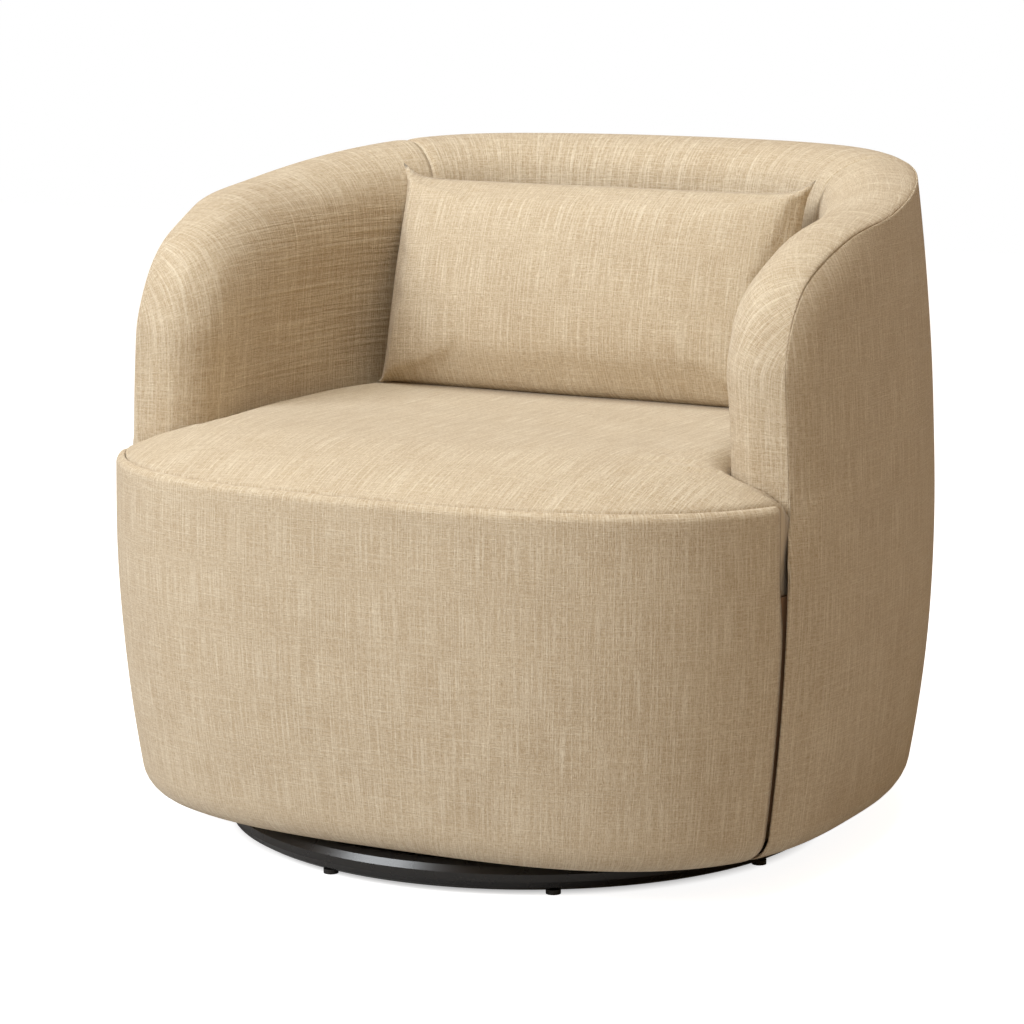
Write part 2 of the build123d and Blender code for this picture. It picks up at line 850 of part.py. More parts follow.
def swivel_plate(plane, race_bottom):
    """Square plate with a raised, grooved ball race and a hole for the pin."""
    with BuildPart() as solid:
        with BuildSketch(plane):
            Rectangle(plate_size, plate_size)
            Circle(pin_diameter / 2 + running_clearance, mode=Mode.SUBTRACT)
        extrude(amount=plate)
        with BuildSketch(swivel.offset(race_bottom)):
            RegularPolygon(ball_circle + race_width / 2, cage_sides)
            RegularPolygon(ball_circle - race_width / 2, cage_sides, mode=Mode.SUBTRACT)
        extrude(amount=race)
        with BuildSketch(Plane.XZ.offset(-swivel_y)):
            with Locations((ball_circle, ball_centre)):
                Rectangle(groove, groove, rotation=45)
        revolve(axis=swivel_axis, mode=Mode.SUBTRACT)
    return solid.part


with BuildPart() as lower_swivel_plate:
    add(swivel_plate(turned.offset(bar_top), lower_top))

with BuildPart() as upper_swivel_plate:
    add(swivel_plate(swivel.offset(upper_bottom), upper_bottom - race))
    with BuildSketch(swivel.offset(upper_bottom)):
        with GridLocations(2 * plate_bolt_reach, 2 * plate_bolt_reach, 2, 2):
            Rectangle(*bolt_hole)
    extrude(amount=plate, mode=Mode.SUBTRACT)

with BuildPart() as ball_cage:
    with BuildSketch(swivel.offset(ball_centre - cage_plate / 2)):
        RegularPolygon(ball_circle + race_width / 2, cage_sides)
        RegularPolygon(ball_circle - race_width / 2, cage_sides, mode=Mode.SUBTRACT)
        with PolarLocations(ball_circle, ball_count):
            Circle(ball / 2 + cage_clearance, mode=Mode.SUBTRACT)
    extrude(amount=cage_plate)

with BuildPart() as bearing_balls:
    for turn in spread(0.0, 360.0, ball_count)[:-1]:
        spoke = swivel.rotated((0, 0, turn))
        centre = spoke.origin + spoke.x_dir * ball_circle + Vector(0, 0, ball_centre)
        with BuildPart(mode=Mode.PRIVATE) as one_ball:
            for facing in (spoke.z_dir, spoke.x_dir, spoke.y_dir):
                across = spoke.y_dir if facing == spoke.x_dir else spoke.x_dir
                first = facing == spoke.z_dir
                with BuildSketch(Plane(centre, x_dir=across, z_dir=facing)):
                    RegularPolygon(ball / 2, ball_sides, rotation=180 / ball_sides)
                extrude(
                    amount=ball,
                    both=True,
                    mode=Mode.ADD if first else Mode.INTERSECT,
                )
        add(one_ball.part)

with BuildPart() as swivel_pin:
    with BuildSketch(swivel.offset(bar_top - bar_wall - pin_foot)):
        Circle(pin_diameter / 2)
    extrude(amount=panel_bottom - bar_top + bar_wall + pin_foot)
    with BuildSketch(swivel.offset(panel_bottom)):
        RegularPolygon(pin_head / 2, 6)
    extrude(amount=pin_head_height)

with BuildPart() as plate_bolts:
    for bottom, length, head in (
        (upper_bottom - plate_bolt_head, plate_bolt_head, True),
        (upper_bottom, plate + panel_board - plate_bolt_short, False),
    ):
        with BuildSketch(swivel.offset(bottom)):
            with GridLocations(2 * plate_bolt_reach, 2 * plate_bolt_reach, 2, 2):
                RegularPolygon(plate_bolt, 8) if head else Rectangle(plate_bolt, plate_bolt)
        extrude(amount=length)

# ------------------------------------------------------------ lumbar pillow

pillow_foot = seat_height + seat_crown + pillow_gap
pillow_z = pillow_foot + pillow_height / 2 * cos(pillow_lean * pi / 180)
pillow_up = Plane(
    origin=(pillow_x, pillow_y, pillow_z),
    x_dir=(1, 0, 0),
    z_dir=(0, -cos(pillow_lean * pi / 180), sin(pillow_lean * pi / 180)),
)


def pillow_point(angle, fill):
    """Point where the pillow has a share of its fullness, in a direction from its middle."""
    across, along = cos(angle), sin(angle)
    low, high = 0.0, 1 / max(abs(across), abs(along))
    for _ in range(30):
        reach = (low + high) / 2
        rest = (1 - abs(reach * across) ** pillow_fullness) * (
            1 - abs(reach * along) ** pillow_fullness
        )
        low, high = (reach, high) if rest > fill**2 else (low, reach)
    u, v = high * across, high * along
    return (
        u * (pillow_width / 2 - pillow_draw * (1 - v**2) ** 2),
        v * (pillow_height / 2 - pillow_draw * (1 - u**2) ** 2),
    )


pillow_rings = []
for fill in [-fill for fill in reversed(pillow_fills)] + list(pillow_fills[1:]):
    depth = copysign(pillow_seam, fill) + (pillow_thickness - pillow_seam) * fill
    layer = pillow_up.offset(depth / 2 if fill else 0.0)
    angles = spread(0.0, 2 * pi, pillow_sides)[:-1]
    pillow_rings.append([layer.from_local_coords(pillow_point(angle, fill)) for angle in angles])

with BuildPart() as lumbar_pillow:
    add(faceted(pillow_rings))

# --------------------------------------------------------------------- files

pieces = {
    "base_ring": base_ring.part,
    "floor_glides": floor_glides.part,
    "cross_bar_long": cross_bar_long.part,
    "cross_bar_front": cross_bar_front.part,
    "cross_bar_back": cross_bar_back.part,
    "lower_swivel_plate": lower_swivel_plate.part,
    "swivel_pin": swivel_pin.part,
    "ball_cage": ball_cage.part,
    "bearing_balls": bearing_balls.part,
    "upper_swivel_plate": upper_swivel_plate.part,
    "plate_bolts": plate_bolts.part,
    "base_panel": base_panel.part,
    "seat_board_ring": seat_board_ring.part,
    "arm_board_left": arm_board_left.part,
    "arm_board_right": arm_board_right.part,
    "arm_cap_left": arm_cap_left.part,
    "arm_cap_right": arm_cap_right.part,
    "back_rail": back_rail.part,
    "spring_clips": spring_clips.part,
    "spring_felt": spring_felt.part,
    "front_liner": front_liner.part,
    "outer_liner": outer_liner.part,
    "seat_foam": seat_foam.part,
    "seat_cover": seat_cover.part,
    "front_cover": front_cover.part,
    "outside_cover": outside_cover.part,
    "arm_pad_left": arm_pad_left.part,
    "arm_pad_right": arm_pad_right.part,
    "back_pad": back_pad.part,
    "dust_cover": dust_cover.part,
    "lumbar_pillow": lumbar_pillow.part,
}
for i, solid in enumerate(lower_post):
    pieces[f"lower_post_{i + 1}"] = solid
for i, solid in enumerate(back_post):
    pieces[f"back_post_{i + 1}"] = solid
for i, solid in enumerate(springs):
    pieces[f"seat_spring_{i + 1}"] = solid

for name, solid in pieces.items():
    solid.label = name
    export_step(solid, f"parts/{name}.step")
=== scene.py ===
from math import atan2, copysign, cos, exp, hypot, pi, radians, sin

import bmesh
import bpy
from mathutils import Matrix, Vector, noise


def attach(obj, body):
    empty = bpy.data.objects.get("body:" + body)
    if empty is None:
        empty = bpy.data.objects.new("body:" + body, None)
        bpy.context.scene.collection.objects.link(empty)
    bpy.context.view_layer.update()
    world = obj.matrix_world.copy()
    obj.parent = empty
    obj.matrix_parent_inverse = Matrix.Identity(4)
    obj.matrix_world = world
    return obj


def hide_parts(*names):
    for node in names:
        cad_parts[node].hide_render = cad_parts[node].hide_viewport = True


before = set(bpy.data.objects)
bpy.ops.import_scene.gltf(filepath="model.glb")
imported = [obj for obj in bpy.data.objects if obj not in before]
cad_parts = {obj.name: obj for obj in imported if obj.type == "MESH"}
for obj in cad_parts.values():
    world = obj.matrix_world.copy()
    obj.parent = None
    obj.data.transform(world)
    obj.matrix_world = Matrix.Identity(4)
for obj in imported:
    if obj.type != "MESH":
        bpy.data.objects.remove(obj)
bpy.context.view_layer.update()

# ------------------------------------------------------------------ the studio
# A white room with a large soft lamp ahead and to the left of the chair, one
# overhead and a faint warm one to the right. The camera stands ahead and to the
# right, and looks a little down.

LOOK_AT = Vector((0.0, -0.0382, 0.350))
CAMERA_TURN, CAMERA_RISE, CAMERA_DISTANCE = radians(28.18), radians(10.04), 3.865
CAMERA_LENS = 122.3
FRAME_SIDE = 1024
LOOK_AT_PIXEL = (17.86, 5.2)  # right of and above the middle of the frame
ROOM_LIGHT, ROOM_STRENGTH = (1.0, 0.62, 0.27, 1.0), 0.32
FLOOR_HALF, FLOOR_GREY, FLOOR_GLOW = 6.0, 0.60, 0.93
GLOW_FROM, GLOW_FULL = 0.290, 0.335  # distances from the ring's middle, dark below the chair


def aim(thing, target):
    """Turn a lamp or the camera towards a point."""
    thing.rotation_euler = (target - thing.location).to_track_quat("-Z", "Y").to_euler()


def soft_lamp(name, place, side, watts, colour):
    """A square lamp with soft edges, aimed at the chair."""
    lamp = bpy.data.lights.new(name, "AREA")
    lamp.shape, lamp.size, lamp.energy, lamp.color = "SQUARE", side, watts, colour
    holder = bpy.data.objects.new(name, lamp)
    holder.location = place
    aim(holder, LOOK_AT)
    bpy.context.collection.objects.link(holder)


camera = bpy.data.objects.new("camera", bpy.data.cameras.new("camera"))
camera.location = LOOK_AT + CAMERA_DISTANCE * Vector(
    (
        sin(CAMERA_TURN) * cos(CAMERA_RISE),
        -cos(CAMERA_TURN) * cos(CAMERA_RISE),
        sin(CAMERA_RISE),
    )
)
aim(camera, LOOK_AT)
camera.data.lens = CAMERA_LENS
camera.data.shift_x = -LOOK_AT_PIXEL[0] / FRAME_SIDE
camera.data.shift_y = -LOOK_AT_PIXEL[1] / FRAME_SIDE
bpy.context.collection.objects.link(camera)
bpy.context.scene.camera = camera
bpy.context.scene.view_settings.view_transform = "Standard"

soft_lamp("lamp_key", (-2.1, -3.2, 2.5), 1.9, 142, (0.955, 1.0, 1.04))
soft_lamp("lamp_fill", (3.4, -1.6, 1.5), 2.0, 2.0, (1.0, 0.80, 0.58))
soft_lamp("lamp_top", (0.15, -0.6, 3.4), 2.2, 69, (0.94, 1.0, 1.02))


class Level:
    """A shader value that can be written in sums."""

    def __init__(self, finish, socket):
        self.finish, self.socket = finish, socket

    def sum(self, operation, first, second):
        return self.finish.node("ShaderNodeMath", {"operation": operation}, {0: first, 1: second})

    def __add__(self, other):
        return self.sum("ADD", self, other)

    def __radd__(self, other):
        return self.sum("ADD", other, self)

    def __sub__(self, other):
        return self.sum("SUBTRACT", self, other)

    def __rsub__(self, other):
        return self.sum("SUBTRACT", other, self)

    def __mul__(self, other):
        return self.sum("MULTIPLY", self, other)

    def __rmul__(self, other):
        return self.sum("MULTIPLY", other, self)


class Finish:
    """One material, or the room, built node by node."""

    def __init__(self, owner):
        owner.use_nodes = True
        self.owner, self.tree = owner, owner.node_tree
        self.tree.nodes.clear()

    def node(self, kind, settings=None, sockets=None, out=0):
        """Add a node, set it up, fill its sockets and give back one output."""
        node = self.tree.nodes.new(kind)
        for name, value in (settings or {}).items():
            setattr(node, name, value)
        for name, value in (sockets or {}).items():
            if isinstance(value, Level):
                self.tree.links.new(value.socket, node.inputs[name])
            else:
                node.inputs[name].default_value = value
        return Level(self, node.outputs[out]) if len(node.outputs) else None

    def surface(self, shader):
        """Make a shader the material's surface."""
        self.node("ShaderNodeOutputMaterial", {}, {"Surface": shader})
        return self.owner


def grey(level):
    """A grey with full cover."""
    return (level, level, level, 1.0)


room = Finish(bpy.data.worlds.new("room"))
seen = room.node(
    "ShaderNodeMath",
    {"operation": "MAXIMUM"},
    {
        0: room.node("ShaderNodeLightPath", out="Is Camera Ray"),
        1: room.node("ShaderNodeLightPath", out="Is Transmission Ray"),
    },
)
lit = room.node("ShaderNodeBackground", {}, {"Color": ROOM_LIGHT, "Strength": ROOM_STRENGTH})
white = room.node("ShaderNodeBackground", {}, {"Color": grey(1.0), "Strength": 1.0})
around = room.node("ShaderNodeMixShader", {}, {0: seen, 1: lit, 2: white})
room.node("ShaderNodeOutputWorld", {}, {"Surface": around})
bpy.context.scene.world = room.owner

form = bmesh.new()
bmesh.ops.create_grid(form, x_segments=8, y_segments=8, size=FLOOR_HALF)
floor_mesh = bpy.data.meshes.new("floor")
form.to_mesh(floor_mesh)
form.free()
floor = bpy.data.objects.new("floor", floor_mesh)
bpy.context.collection.objects.link(floor)
paper = Finish(bpy.data.materials.new("paper"))
seen_by_camera = paper.node("ShaderNodeLightPath", out="Is Camera Ray")
from_middle = paper.node(
    "ShaderNodeVectorMath",
    {"operation": "DISTANCE"},
    {0: paper.node("ShaderNodeTexCoord", out="Object"), 1: (0.0, LOOK_AT.y, 0.0)},
    out="Value",
)
open_floor = paper.node(
    "ShaderNodeMapRange", {}, {"Value": from_middle, "From Min": GLOW_FROM, "From Max": GLOW_FULL}
)
matt = paper.node("ShaderNodeBsdfDiffuse", {}, {"Color": grey(FLOOR_GREY)})
glow = paper.node("ShaderNodeEmission", {}, {"Color": grey(1.0), "Strength": FLOOR_GLOW})
bright = paper.node("ShaderNodeAddShader", {}, {0: matt, 1: glow})
choose = paper.node(
    "ShaderNodeMixShader", {}, {0: seen_by_camera * open_floor, 1: matt, 2: bright}
)
floor_mesh.materials.append(paper.surface(choose))

# --------------------------------------------------------------- the ring base
# A round steel tube bent to a ring, with a cross of rectangular tube welded
# inside it, all in gloss black enamel. Eight moulded glides stand it level.

ENAMEL, GLIDE_BLACK = (0.006, 0.006, 0.007, 1.0), (0.012, 0.012, 0.012, 1.0)


def dress(material, *nodes):
    """Give CAD nodes a finish."""
    for name in nodes:
        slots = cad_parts[name].material_slots
        if not slots:
            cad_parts[name].data.materials.append(material)
        for spot in slots:
            spot.material = material


def enamel(name, colour, rough, dust):
    """Sprayed and baked paint, with faint orange peel and a little dust."""
    paint = Finish(bpy.data.materials.new(name))
    where = paint.node("ShaderNodeTexCoord", out="Object")
    cloud = paint.node("ShaderNodeTexNoise", {}, {"Vector": where, "Scale": 22.0, "Detail": 4.0})
    peel = paint.node("ShaderNodeTexNoise", {}, {"Vector": where, "Scale": 420.0, "Detail": 2.0})
    dulled = paint.node(
        "ShaderNodeMix",
        {"data_type": "RGBA"},
        {0: cloud * dust, "A": colour, "B": (0.09, 0.085, 0.08, 1.0)},
        out=2,
    )
    ripple = paint.node(
        "ShaderNodeBump", {}, {"Height": peel, "Strength": 0.08, "Distance": 0.0004}
    )
    shader = paint.node(
        "ShaderNodeBsdfPrincipled",
        {},
        {"Base Color": dulled, "Roughness": cloud * 0.12 + rough, "Normal": ripple},
    )
    return paint.surface(shader)


dress(enamel("gloss_enamel", ENAMEL, 0.22, 0.04), "base_ring", "cross_bar_long",
      "cross_bar_front", "cross_bar_back")
dress(enamel("moulded_glide", GLIDE_BLACK, 0.42, 0.12), "floor_glides")

# ---------------------------------------------------------- the swivel bearing
# Two pressed steel plates with a ring of balls between their races, held by a
# hexagon-headed pin. Bright zinc plate, bolted through the base board.

ZINC = (0.50, 0.51, 0.53, 1.0)


def plated(name, colour, rough):
    """Zinc-plated steel with drawn streaks."""
    metal = Finish(bpy.data.materials.new(name))
    where = metal.node("ShaderNodeTexCoord", out="Object")
    drawn = metal.node(
        "ShaderNodeVectorMath", {"operation": "MULTIPLY"}, {0: where, 1: (30.0, 600.0, 120.0)}
    )
    streak = metal.node("ShaderNodeTexNoise", {}, {"Vector": drawn, "Scale": 1.0, "Detail": 3.0})
    cloud = metal.node("ShaderNodeTexNoise", {}, {"Vector": where, "Scale": 35.0, "Detail": 5.0})
    tone = metal.node(
        "ShaderNodeMix",
        {"data_type": "RGBA"},
        {0: cloud, "A": colour, "B": (0.30, 0.29, 0.27, 1.0)},
        out=2,
    )
    shader = metal.node(
        "ShaderNodeBsdfPrincipled",
        {},
        {"Base Color": tone, "Metallic": 1.0, "Roughness": streak * 0.2 + rough},
    )
    return metal.surface(shader)


dress(plated("zinc_plate", ZINC, 0.28), "lower_swivel_plate", "upper_swivel_plate",
      "swivel_pin", "plate_bolts", "spring_clips")
dress(plated("ball_steel", (0.62, 0.62, 0.64, 1.0), 0.1), "bearing_balls", "ball_cage")
dress(plated("spring_steel", (0.16, 0.16, 0.17, 1.0), 0.32),
      *[f"seat_spring_{i + 1}" for i in range(4)])

# -------------------------------------------------------------- the inner frame
# Sawn hardwood uprights and plywood boards, glued and stapled, with hardboard
# bent round them and a felt pad over the springs.


def timber(name, light, dark, scale):
    """Planed wood with its grain along the longest run."""
    wood = Finish(bpy.data.materials.new(name))
    where = wood.node("ShaderNodeTexCoord", out="Object")
    long = wood.node(
        "ShaderNodeVectorMath", {"operation": "MULTIPLY"}, {0: where, 1: (scale, scale, 3.0)}
    )
    grain = wood.node(
        "ShaderNodeTexNoise", {}, {"Vector": long, "Scale": 1.0, "Detail": 6.0, "Distortion": 0.6}
    )
    fibre = wood.node(
        "ShaderNodeTexNoise", {}, {"Vector": where, "Scale": 520.0, "Detail": 2.0}
    )
    tone = wood.node(
        "ShaderNodeMix", {"data_type": "RGBA"}, {0: grain, "A": dark, "B": light}, out=2
    )
    rise = wood.node("ShaderNodeBump", {}, {"Height": fibre, "Strength": 0.2, "Distance": 0.0005})
    shader = wood.node(
        "ShaderNodeBsdfPrincipled",
        {},
        {"Base Color": tone, "Roughness": fibre * 0.2 + 0.55, "Normal": rise},
    )
    return wood.surface(shader)


dress(
    timber("birch_frame", (0.72, 0.53, 0.33, 1.0), (0.48, 0.31, 0.17, 1.0), 40.0),
    "base_panel", "seat_board_ring", "back_rail", "arm_board_left", "arm_board_right",
    "arm_cap_left", "arm_cap_right",
    *[f"lower_post_{i + 1}" for i in range(8)],
    *[f"back_post_{i + 1}" for i in range(5)],
)
dress(
    timber("hardboard", (0.30, 0.19, 0.11, 1.0), (0.22, 0.13, 0.07, 1.0), 260.0),
    "front_liner", "outer_liner",
)


def felted(name, colour, thread, scale):
    """Pressed fibre: felt or thin bonded cloth."""
    mat = Finish(bpy.data.materials.new(name))
    where = mat.node("ShaderNodeTexCoord", out="Object")
    fibre = mat.node("ShaderNodeTexNoise", {}, {"Vector": where, "Scale": scale, "Detail": 8.0})
    tone = mat.node(
        "ShaderNodeMix", {"data_type": "RGBA"}, {0: fibre, "A": colour, "B": thread}, out=2
    )
    nap = mat.node("ShaderNodeBump", {}, {"Height": fibre, "Strength": 0.4, "Distance": 0.0008})
    shader = mat.node(
        "ShaderNodeBsdfPrincipled",
        {},
        {"Base Color": tone, "Roughness": fibre * 0.08 + 0.92, "Normal": nap},
    )
    return mat.surface(shader)


dress(felted("needle_felt", (0.16, 0.16, 0.17, 1.0), (0.42, 0.41, 0.40, 1.0), 380.0),
      "spring_felt")

# ------------------------------------------------------------- the body's shape
# Every cover follows one rounded body: two half ovals from above, drawn in a
# little above and below the girth, under a top edge that falls to the arms.

HALF_WIDTH, FRONT_REACH, BACK_REACH = 0.4318, 0.3667, 0.4639
WIDEST_Y = -0.0486
FRONT_POWER, BACK_POWER = 2.84, 2.33
GIRTH, DRAW_BELOW, DRAW_ABOVE, DRAW_SPAN = 0.342, 0.0275, 0.0169, 0.300
FLOOR_GAP, BOTTOM_ROLL = 0.0374, 0.038
NOSE_Y, NOSE_TOP = -0.2442, 0.540
SEAT_BOARD_TOP, SEAT_SEAM = 0.322, 0.417
CROWN_KNOTS = (
    (0.3318, 0.7366), (0.0158, 0.6980), (-0.1082, 0.6760),
    (-0.2042, 0.6300), (-0.2332, 0.5826), (NOSE_Y, NOSE_TOP),
)


def outline_at(angle, inset=0.0):
    """Point of the outline from above at a polar angle, and its inward direction."""
    across, along = cos(angle), sin(angle)
    power, reach = (BACK_POWER, BACK_REACH) if along >= 0 else (FRONT_POWER, FRONT_REACH)
    far = (abs(across / HALF_WIDTH) ** power + abs(along / reach) ** power) ** (-1 / power)
    x, y = far * across, far * along
    slope_x = copysign(abs(x / HALF_WIDTH) ** (power - 1) / HALF_WIDTH, x)
    slope_y = copysign(abs(y / reach) ** (power - 1) / reach, y)
    size = hypot(slope_x, slope_y)
    inward = Vector((-slope_x / size, -slope_y / size, 0.0))
    return Vector((x, WIDEST_Y + y, 0.0)) + inset * inward, inward


def half_width_at(y):
    """Half the width of the outline at a distance along the chair."""
    power, reach = (BACK_POWER, BACK_REACH) if y >= WIDEST_Y else (FRONT_POWER, FRONT_REACH)
    return HALF_WIDTH * max(0.0, 1 - abs((y - WIDEST_Y) / reach) ** power) ** (1 / power)


def angle_of(y):
    """Polar angle of the right side's outline at a distance along the chair."""
    return atan2(y - WIDEST_Y, half_width_at(y))


def draw_in(z):
    """How far the side has drawn in at a height."""
    if z < GIRTH:
        return DRAW_BELOW * ((GIRTH - z) / DRAW_SPAN) ** 2
    return DRAW_ABOVE * ((z - GIRTH) / DRAW_SPAN) ** 2


def smooth(share):
    """Ease from 0 to 1."""
    share = min(1.0, max(0.0, share))
    return share * share * (3 - 2 * share)


def through(knots, steps, start, end):
    """Points of a smooth line through knots, with its directions at both ends."""
    knots = [Vector(knot) for knot in knots]
    runs = [(b - a).length for a, b in zip(knots, knots[1:])]
    slopes = [Vector(start)]
    for i in range(1, len(knots) - 1):
        before = (knots[i] - knots[i - 1]) / runs[i - 1]
        after = (knots[i + 1] - knots[i]) / runs[i]
        slopes.append((before * runs[i] + after * runs[i - 1]) / (runs[i] + runs[i - 1]))
    slopes.append(Vector(end))
    line = [knots[0]]
    for a, b, slope_a, slope_b, run in zip(knots, knots[1:], slopes, slopes[1:], runs):
        for step in range(1, steps + 1):
            t = step / steps
            line.append(
                a * (2 * t**3 - 3 * t**2 + 1)
                + slope_a * run * (t**3 - 2 * t**2 + t)
                + b * (3 * t**2 - 2 * t**3)
                + slope_b * run * (t**3 - t**2)
            )
    return line


def spaced(line, count):
    """Points evenly spaced along a line of points."""
    lengths = [0.0]
    for a, b in zip(line, line[1:]):
        lengths.append(lengths[-1] + (b - a).length)
    points, i = [], 0
    for step in range(count + 1):
        want = lengths[-1] * step / count
        while i < len(line) - 2 and lengths[i + 1] < want:
            i += 1
        run = lengths[i + 1] - lengths[i]
        points.append(line[i].lerp(line[i + 1], (want - lengths[i]) / run if run else 0.0))
    return points


crown = through(CROWN_KNOTS, 60, start=(-1.0, 0.0), end=(0.0, -1.0))


def crown_at(y):
    """Height of the top edge of the wall at a distance along the chair."""
    if y >= crown[0].x:
        return crown[0].y
    for a, b in zip(crown, crown[1:]):
        if b.x <= y:
            return a.y + (b.y - a.y) * (a.x - y) / max(a.x - b.x, 1e-9)
    return NOSE_TOP


def grid_piece(name, rows, closed=False):
    """Mesh object over rows of points; a closed one joins each row's two ends."""
    form = bmesh.new()
    corners = [[form.verts.new(point) for point in row] for row in rows]
    for row, following in zip(corners, corners[1:]):
        for i in range(len(row) if closed else len(row) - 1):
            k = (i + 1) % len(row)
            form.faces.new((row[i], row[k], following[k], following[i]))
    if closed:
        form.faces.new(list(reversed(corners[0])))
        form.faces.new(corners[-1])
    bmesh.ops.recalc_face_normals(form, faces=form.faces)
    mesh = bpy.data.meshes.new(name)
    form.to_mesh(mesh)
    form.free()
    piece = bpy.data.objects.new(name, mesh)
    bpy.context.collection.objects.link(piece)
    return piece


def finished(piece, material, body="chair"):
    """Give a new piece its material and body, and shade it smooth."""
    piece.data.materials.clear()
    piece.data.materials.append(material)
    for face in piece.data.polygons:
        face.use_smooth = True
    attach(piece, body)


# ----------------------------------------------------------------- cover cloth
# Heavy linen-look weave in a warm wheat colour: uneven pale slubs along both
# threads over a darker ground, and a fine twill that only shows close up.
# Shade is painted into the hollows of the fine wrinkles on the inner arms.

CLOTH_MID, CLOTH_PALE = (0.560, 0.455, 0.312, 1.0), (0.850, 0.780, 0.630, 1.0)
CLOTH_DEEP = (0.325, 0.225, 0.130, 1.0)
CLOTH_RADIUS = 0.42  # turns an angle round the body into a length of cloth


def linen(name):
    """The cover cloth, laid by the grain attribute: metres across and along."""
    cloth = Finish(bpy.data.materials.new(name))
    lay = cloth.node("ShaderNodeAttribute", {"attribute_name": "grain"}, out="Vector")

    def streaks(across, along, detail=2.0):
        stretched = cloth.node(
            "ShaderNodeVectorMath", {"operation": "MULTIPLY"}, {0: lay, 1: (across, along, 1.0)}
        )
        return cloth.node(
            "ShaderNodeTexNoise", {}, {"Vector": stretched, "Scale": 1.0, "Detail": detail}
        )

    def above(value, low, high):
        return cloth.node(
            "ShaderNodeMapRange", {}, {"Value": value, "From Min": low, "From Max": high}
        )

    warp = above(streaks(600.0, 15.0), 0.44, 0.74)
    weft = above(streaks(18.0, 660.0), 0.46, 0.76)
    warp_fine = above(streaks(1250.0, 160.0, 1.0), 0.30, 0.70)
    weft_fine = above(streaks(160.0, 1250.0, 1.0), 0.30, 0.70)
    cloud = above(streaks(14.0, 14.0, 4.0), 0.30, 0.70)
    speck = above(streaks(760.0, 700.0), 0.46, 0.70)
    crease = cloth.node("ShaderNodeAttribute", {"attribute_name": "crease"}, out="Fac")
    ridges = above(streaks(9.0, 170.0), 0.35, 0.70)

    def tint(factor, under, over):
        return cloth.node(
            "ShaderNodeMix", {"data_type": "RGBA"}, {0: factor, "A": under, "B": over}, out=2
        )

    ground = tint(speck * 0.50 + cloud * 0.22, CLOTH_MID, CLOTH_DEEP)
    slubbed = tint(warp * 0.55, ground, CLOTH_PALE)
    crossed = tint(weft * 0.32, slubbed, CLOTH_PALE)
    fine = tint(warp_fine * weft_fine * 0.32, crossed, CLOTH_PALE)
    gaps = tint((1.0 - warp_fine) * (1.0 - weft_fine) * 0.55, fine, CLOTH_DEEP)
    # Painted shade: the colour darkens towards the deep tone in the hollows between the wrinkle
    # ridges of the inner arms.
    crease_shaded = tint(crease * (1.0 - ridges) * 0.30, gaps, CLOTH_DEEP)
    thread = warp_fine * 0.5 + weft_fine * 0.45 + warp * 0.4 + weft * 0.4 + crease * ridges * 2.6
    relief = cloth.node(
        "ShaderNodeBump", {}, {"Height": thread, "Strength": 0.6, "Distance": 0.0009}
    )
    shader = cloth.node(
        "ShaderNodeBsdfPrincipled",
        {},
        {
            "Base Color": crease_shaded,
            "Roughness": 0.86 + warp_fine * 0.08,
            "Normal": relief,
            "Sheen Weight": 0.18,
            "Sheen Roughness": 0.5,
            "Specular IOR Level": 0.25,
        },
    )
    return cloth.surface(shader)


linen_cloth = linen("linen_cloth")


def lay_cloth(piece, across, along, offset=(0.0, 0.0)):
    """Store where each point lies on the cloth, from its place on the piece."""
    layer = piece.data.attributes.new("grain", "FLOAT_VECTOR", "POINT")
    for i, vertex in enumerate(piece.data.vertices):
        place = vertex.co
        layer.data[i].vector = (
            across(place) + offset[0],
            along(place) + offset[1],
            0.35 * noise.noise(place * 3.0),
        )


def round_body(place):
    """Distance round the body, for cloth that wraps it."""
    return CLOTH_RADIUS * atan2(place.x, -(place.y - WIDEST_Y))


def round_back(place):
    """The same from the middle of the back, for cloth that doesn't cross the front."""
    return CLOTH_RADIUS * atan2(place.x, place.y - WIDEST_Y)


def upward(place):
    """Height, for cloth that hangs upright."""
    return place.z


# -------------------------------------------------------- the padded arms, back
# Foam on the wooden frame under one tight inside cover in three panels. It
# rolls over the top edge and round the arm ends to the outer seam.

SEAM_DROP_TOP, SEAM_DROP_NOSE, SEAM_DROP_REACH = 0.0085, 0.0022, 0.09
WALL, LINING = 0.114, 0.080
OUTER_INSET, ROLL_PEAK, ROLL_TURN, ROLL_SHOULDER, ROLL_DEPTH = 0.0008, 0.32, 0.82, 0.026, 0.100
LINING_EDGE, LINING_PEAK, LINING_TOP = 0.0080, 0.036, 0.036
SEAM_TUCK = 0.0028, 0.0016  # inwards and down
PANEL_SEAM, PANEL_PINCH, PANEL_LAY = radians(41.0), 0.0030, 0.325
SPINE_Y, FAN_COUNT, FAN_STEPS, FAN_TURNED = -0.100, 46, 9, 0.70
ARM_STEPS, CORNER_STEPS, BACK_STEPS = 8, 44, 90
PAD_FOOT = SEAT_BOARD_TOP + 0.001

peak = OUTER_INSET + ROLL_PEAK * WALL
roll = spaced(
    through(
        ((peak, 0.0), (OUTER_INSET + ROLL_TURN * WALL, ROLL_SHOULDER), (WALL, ROLL_DEPTH)),
        24,
        start=(1.0, 0.0),
        end=(0.0, 1.0),
    ),
    18,
)
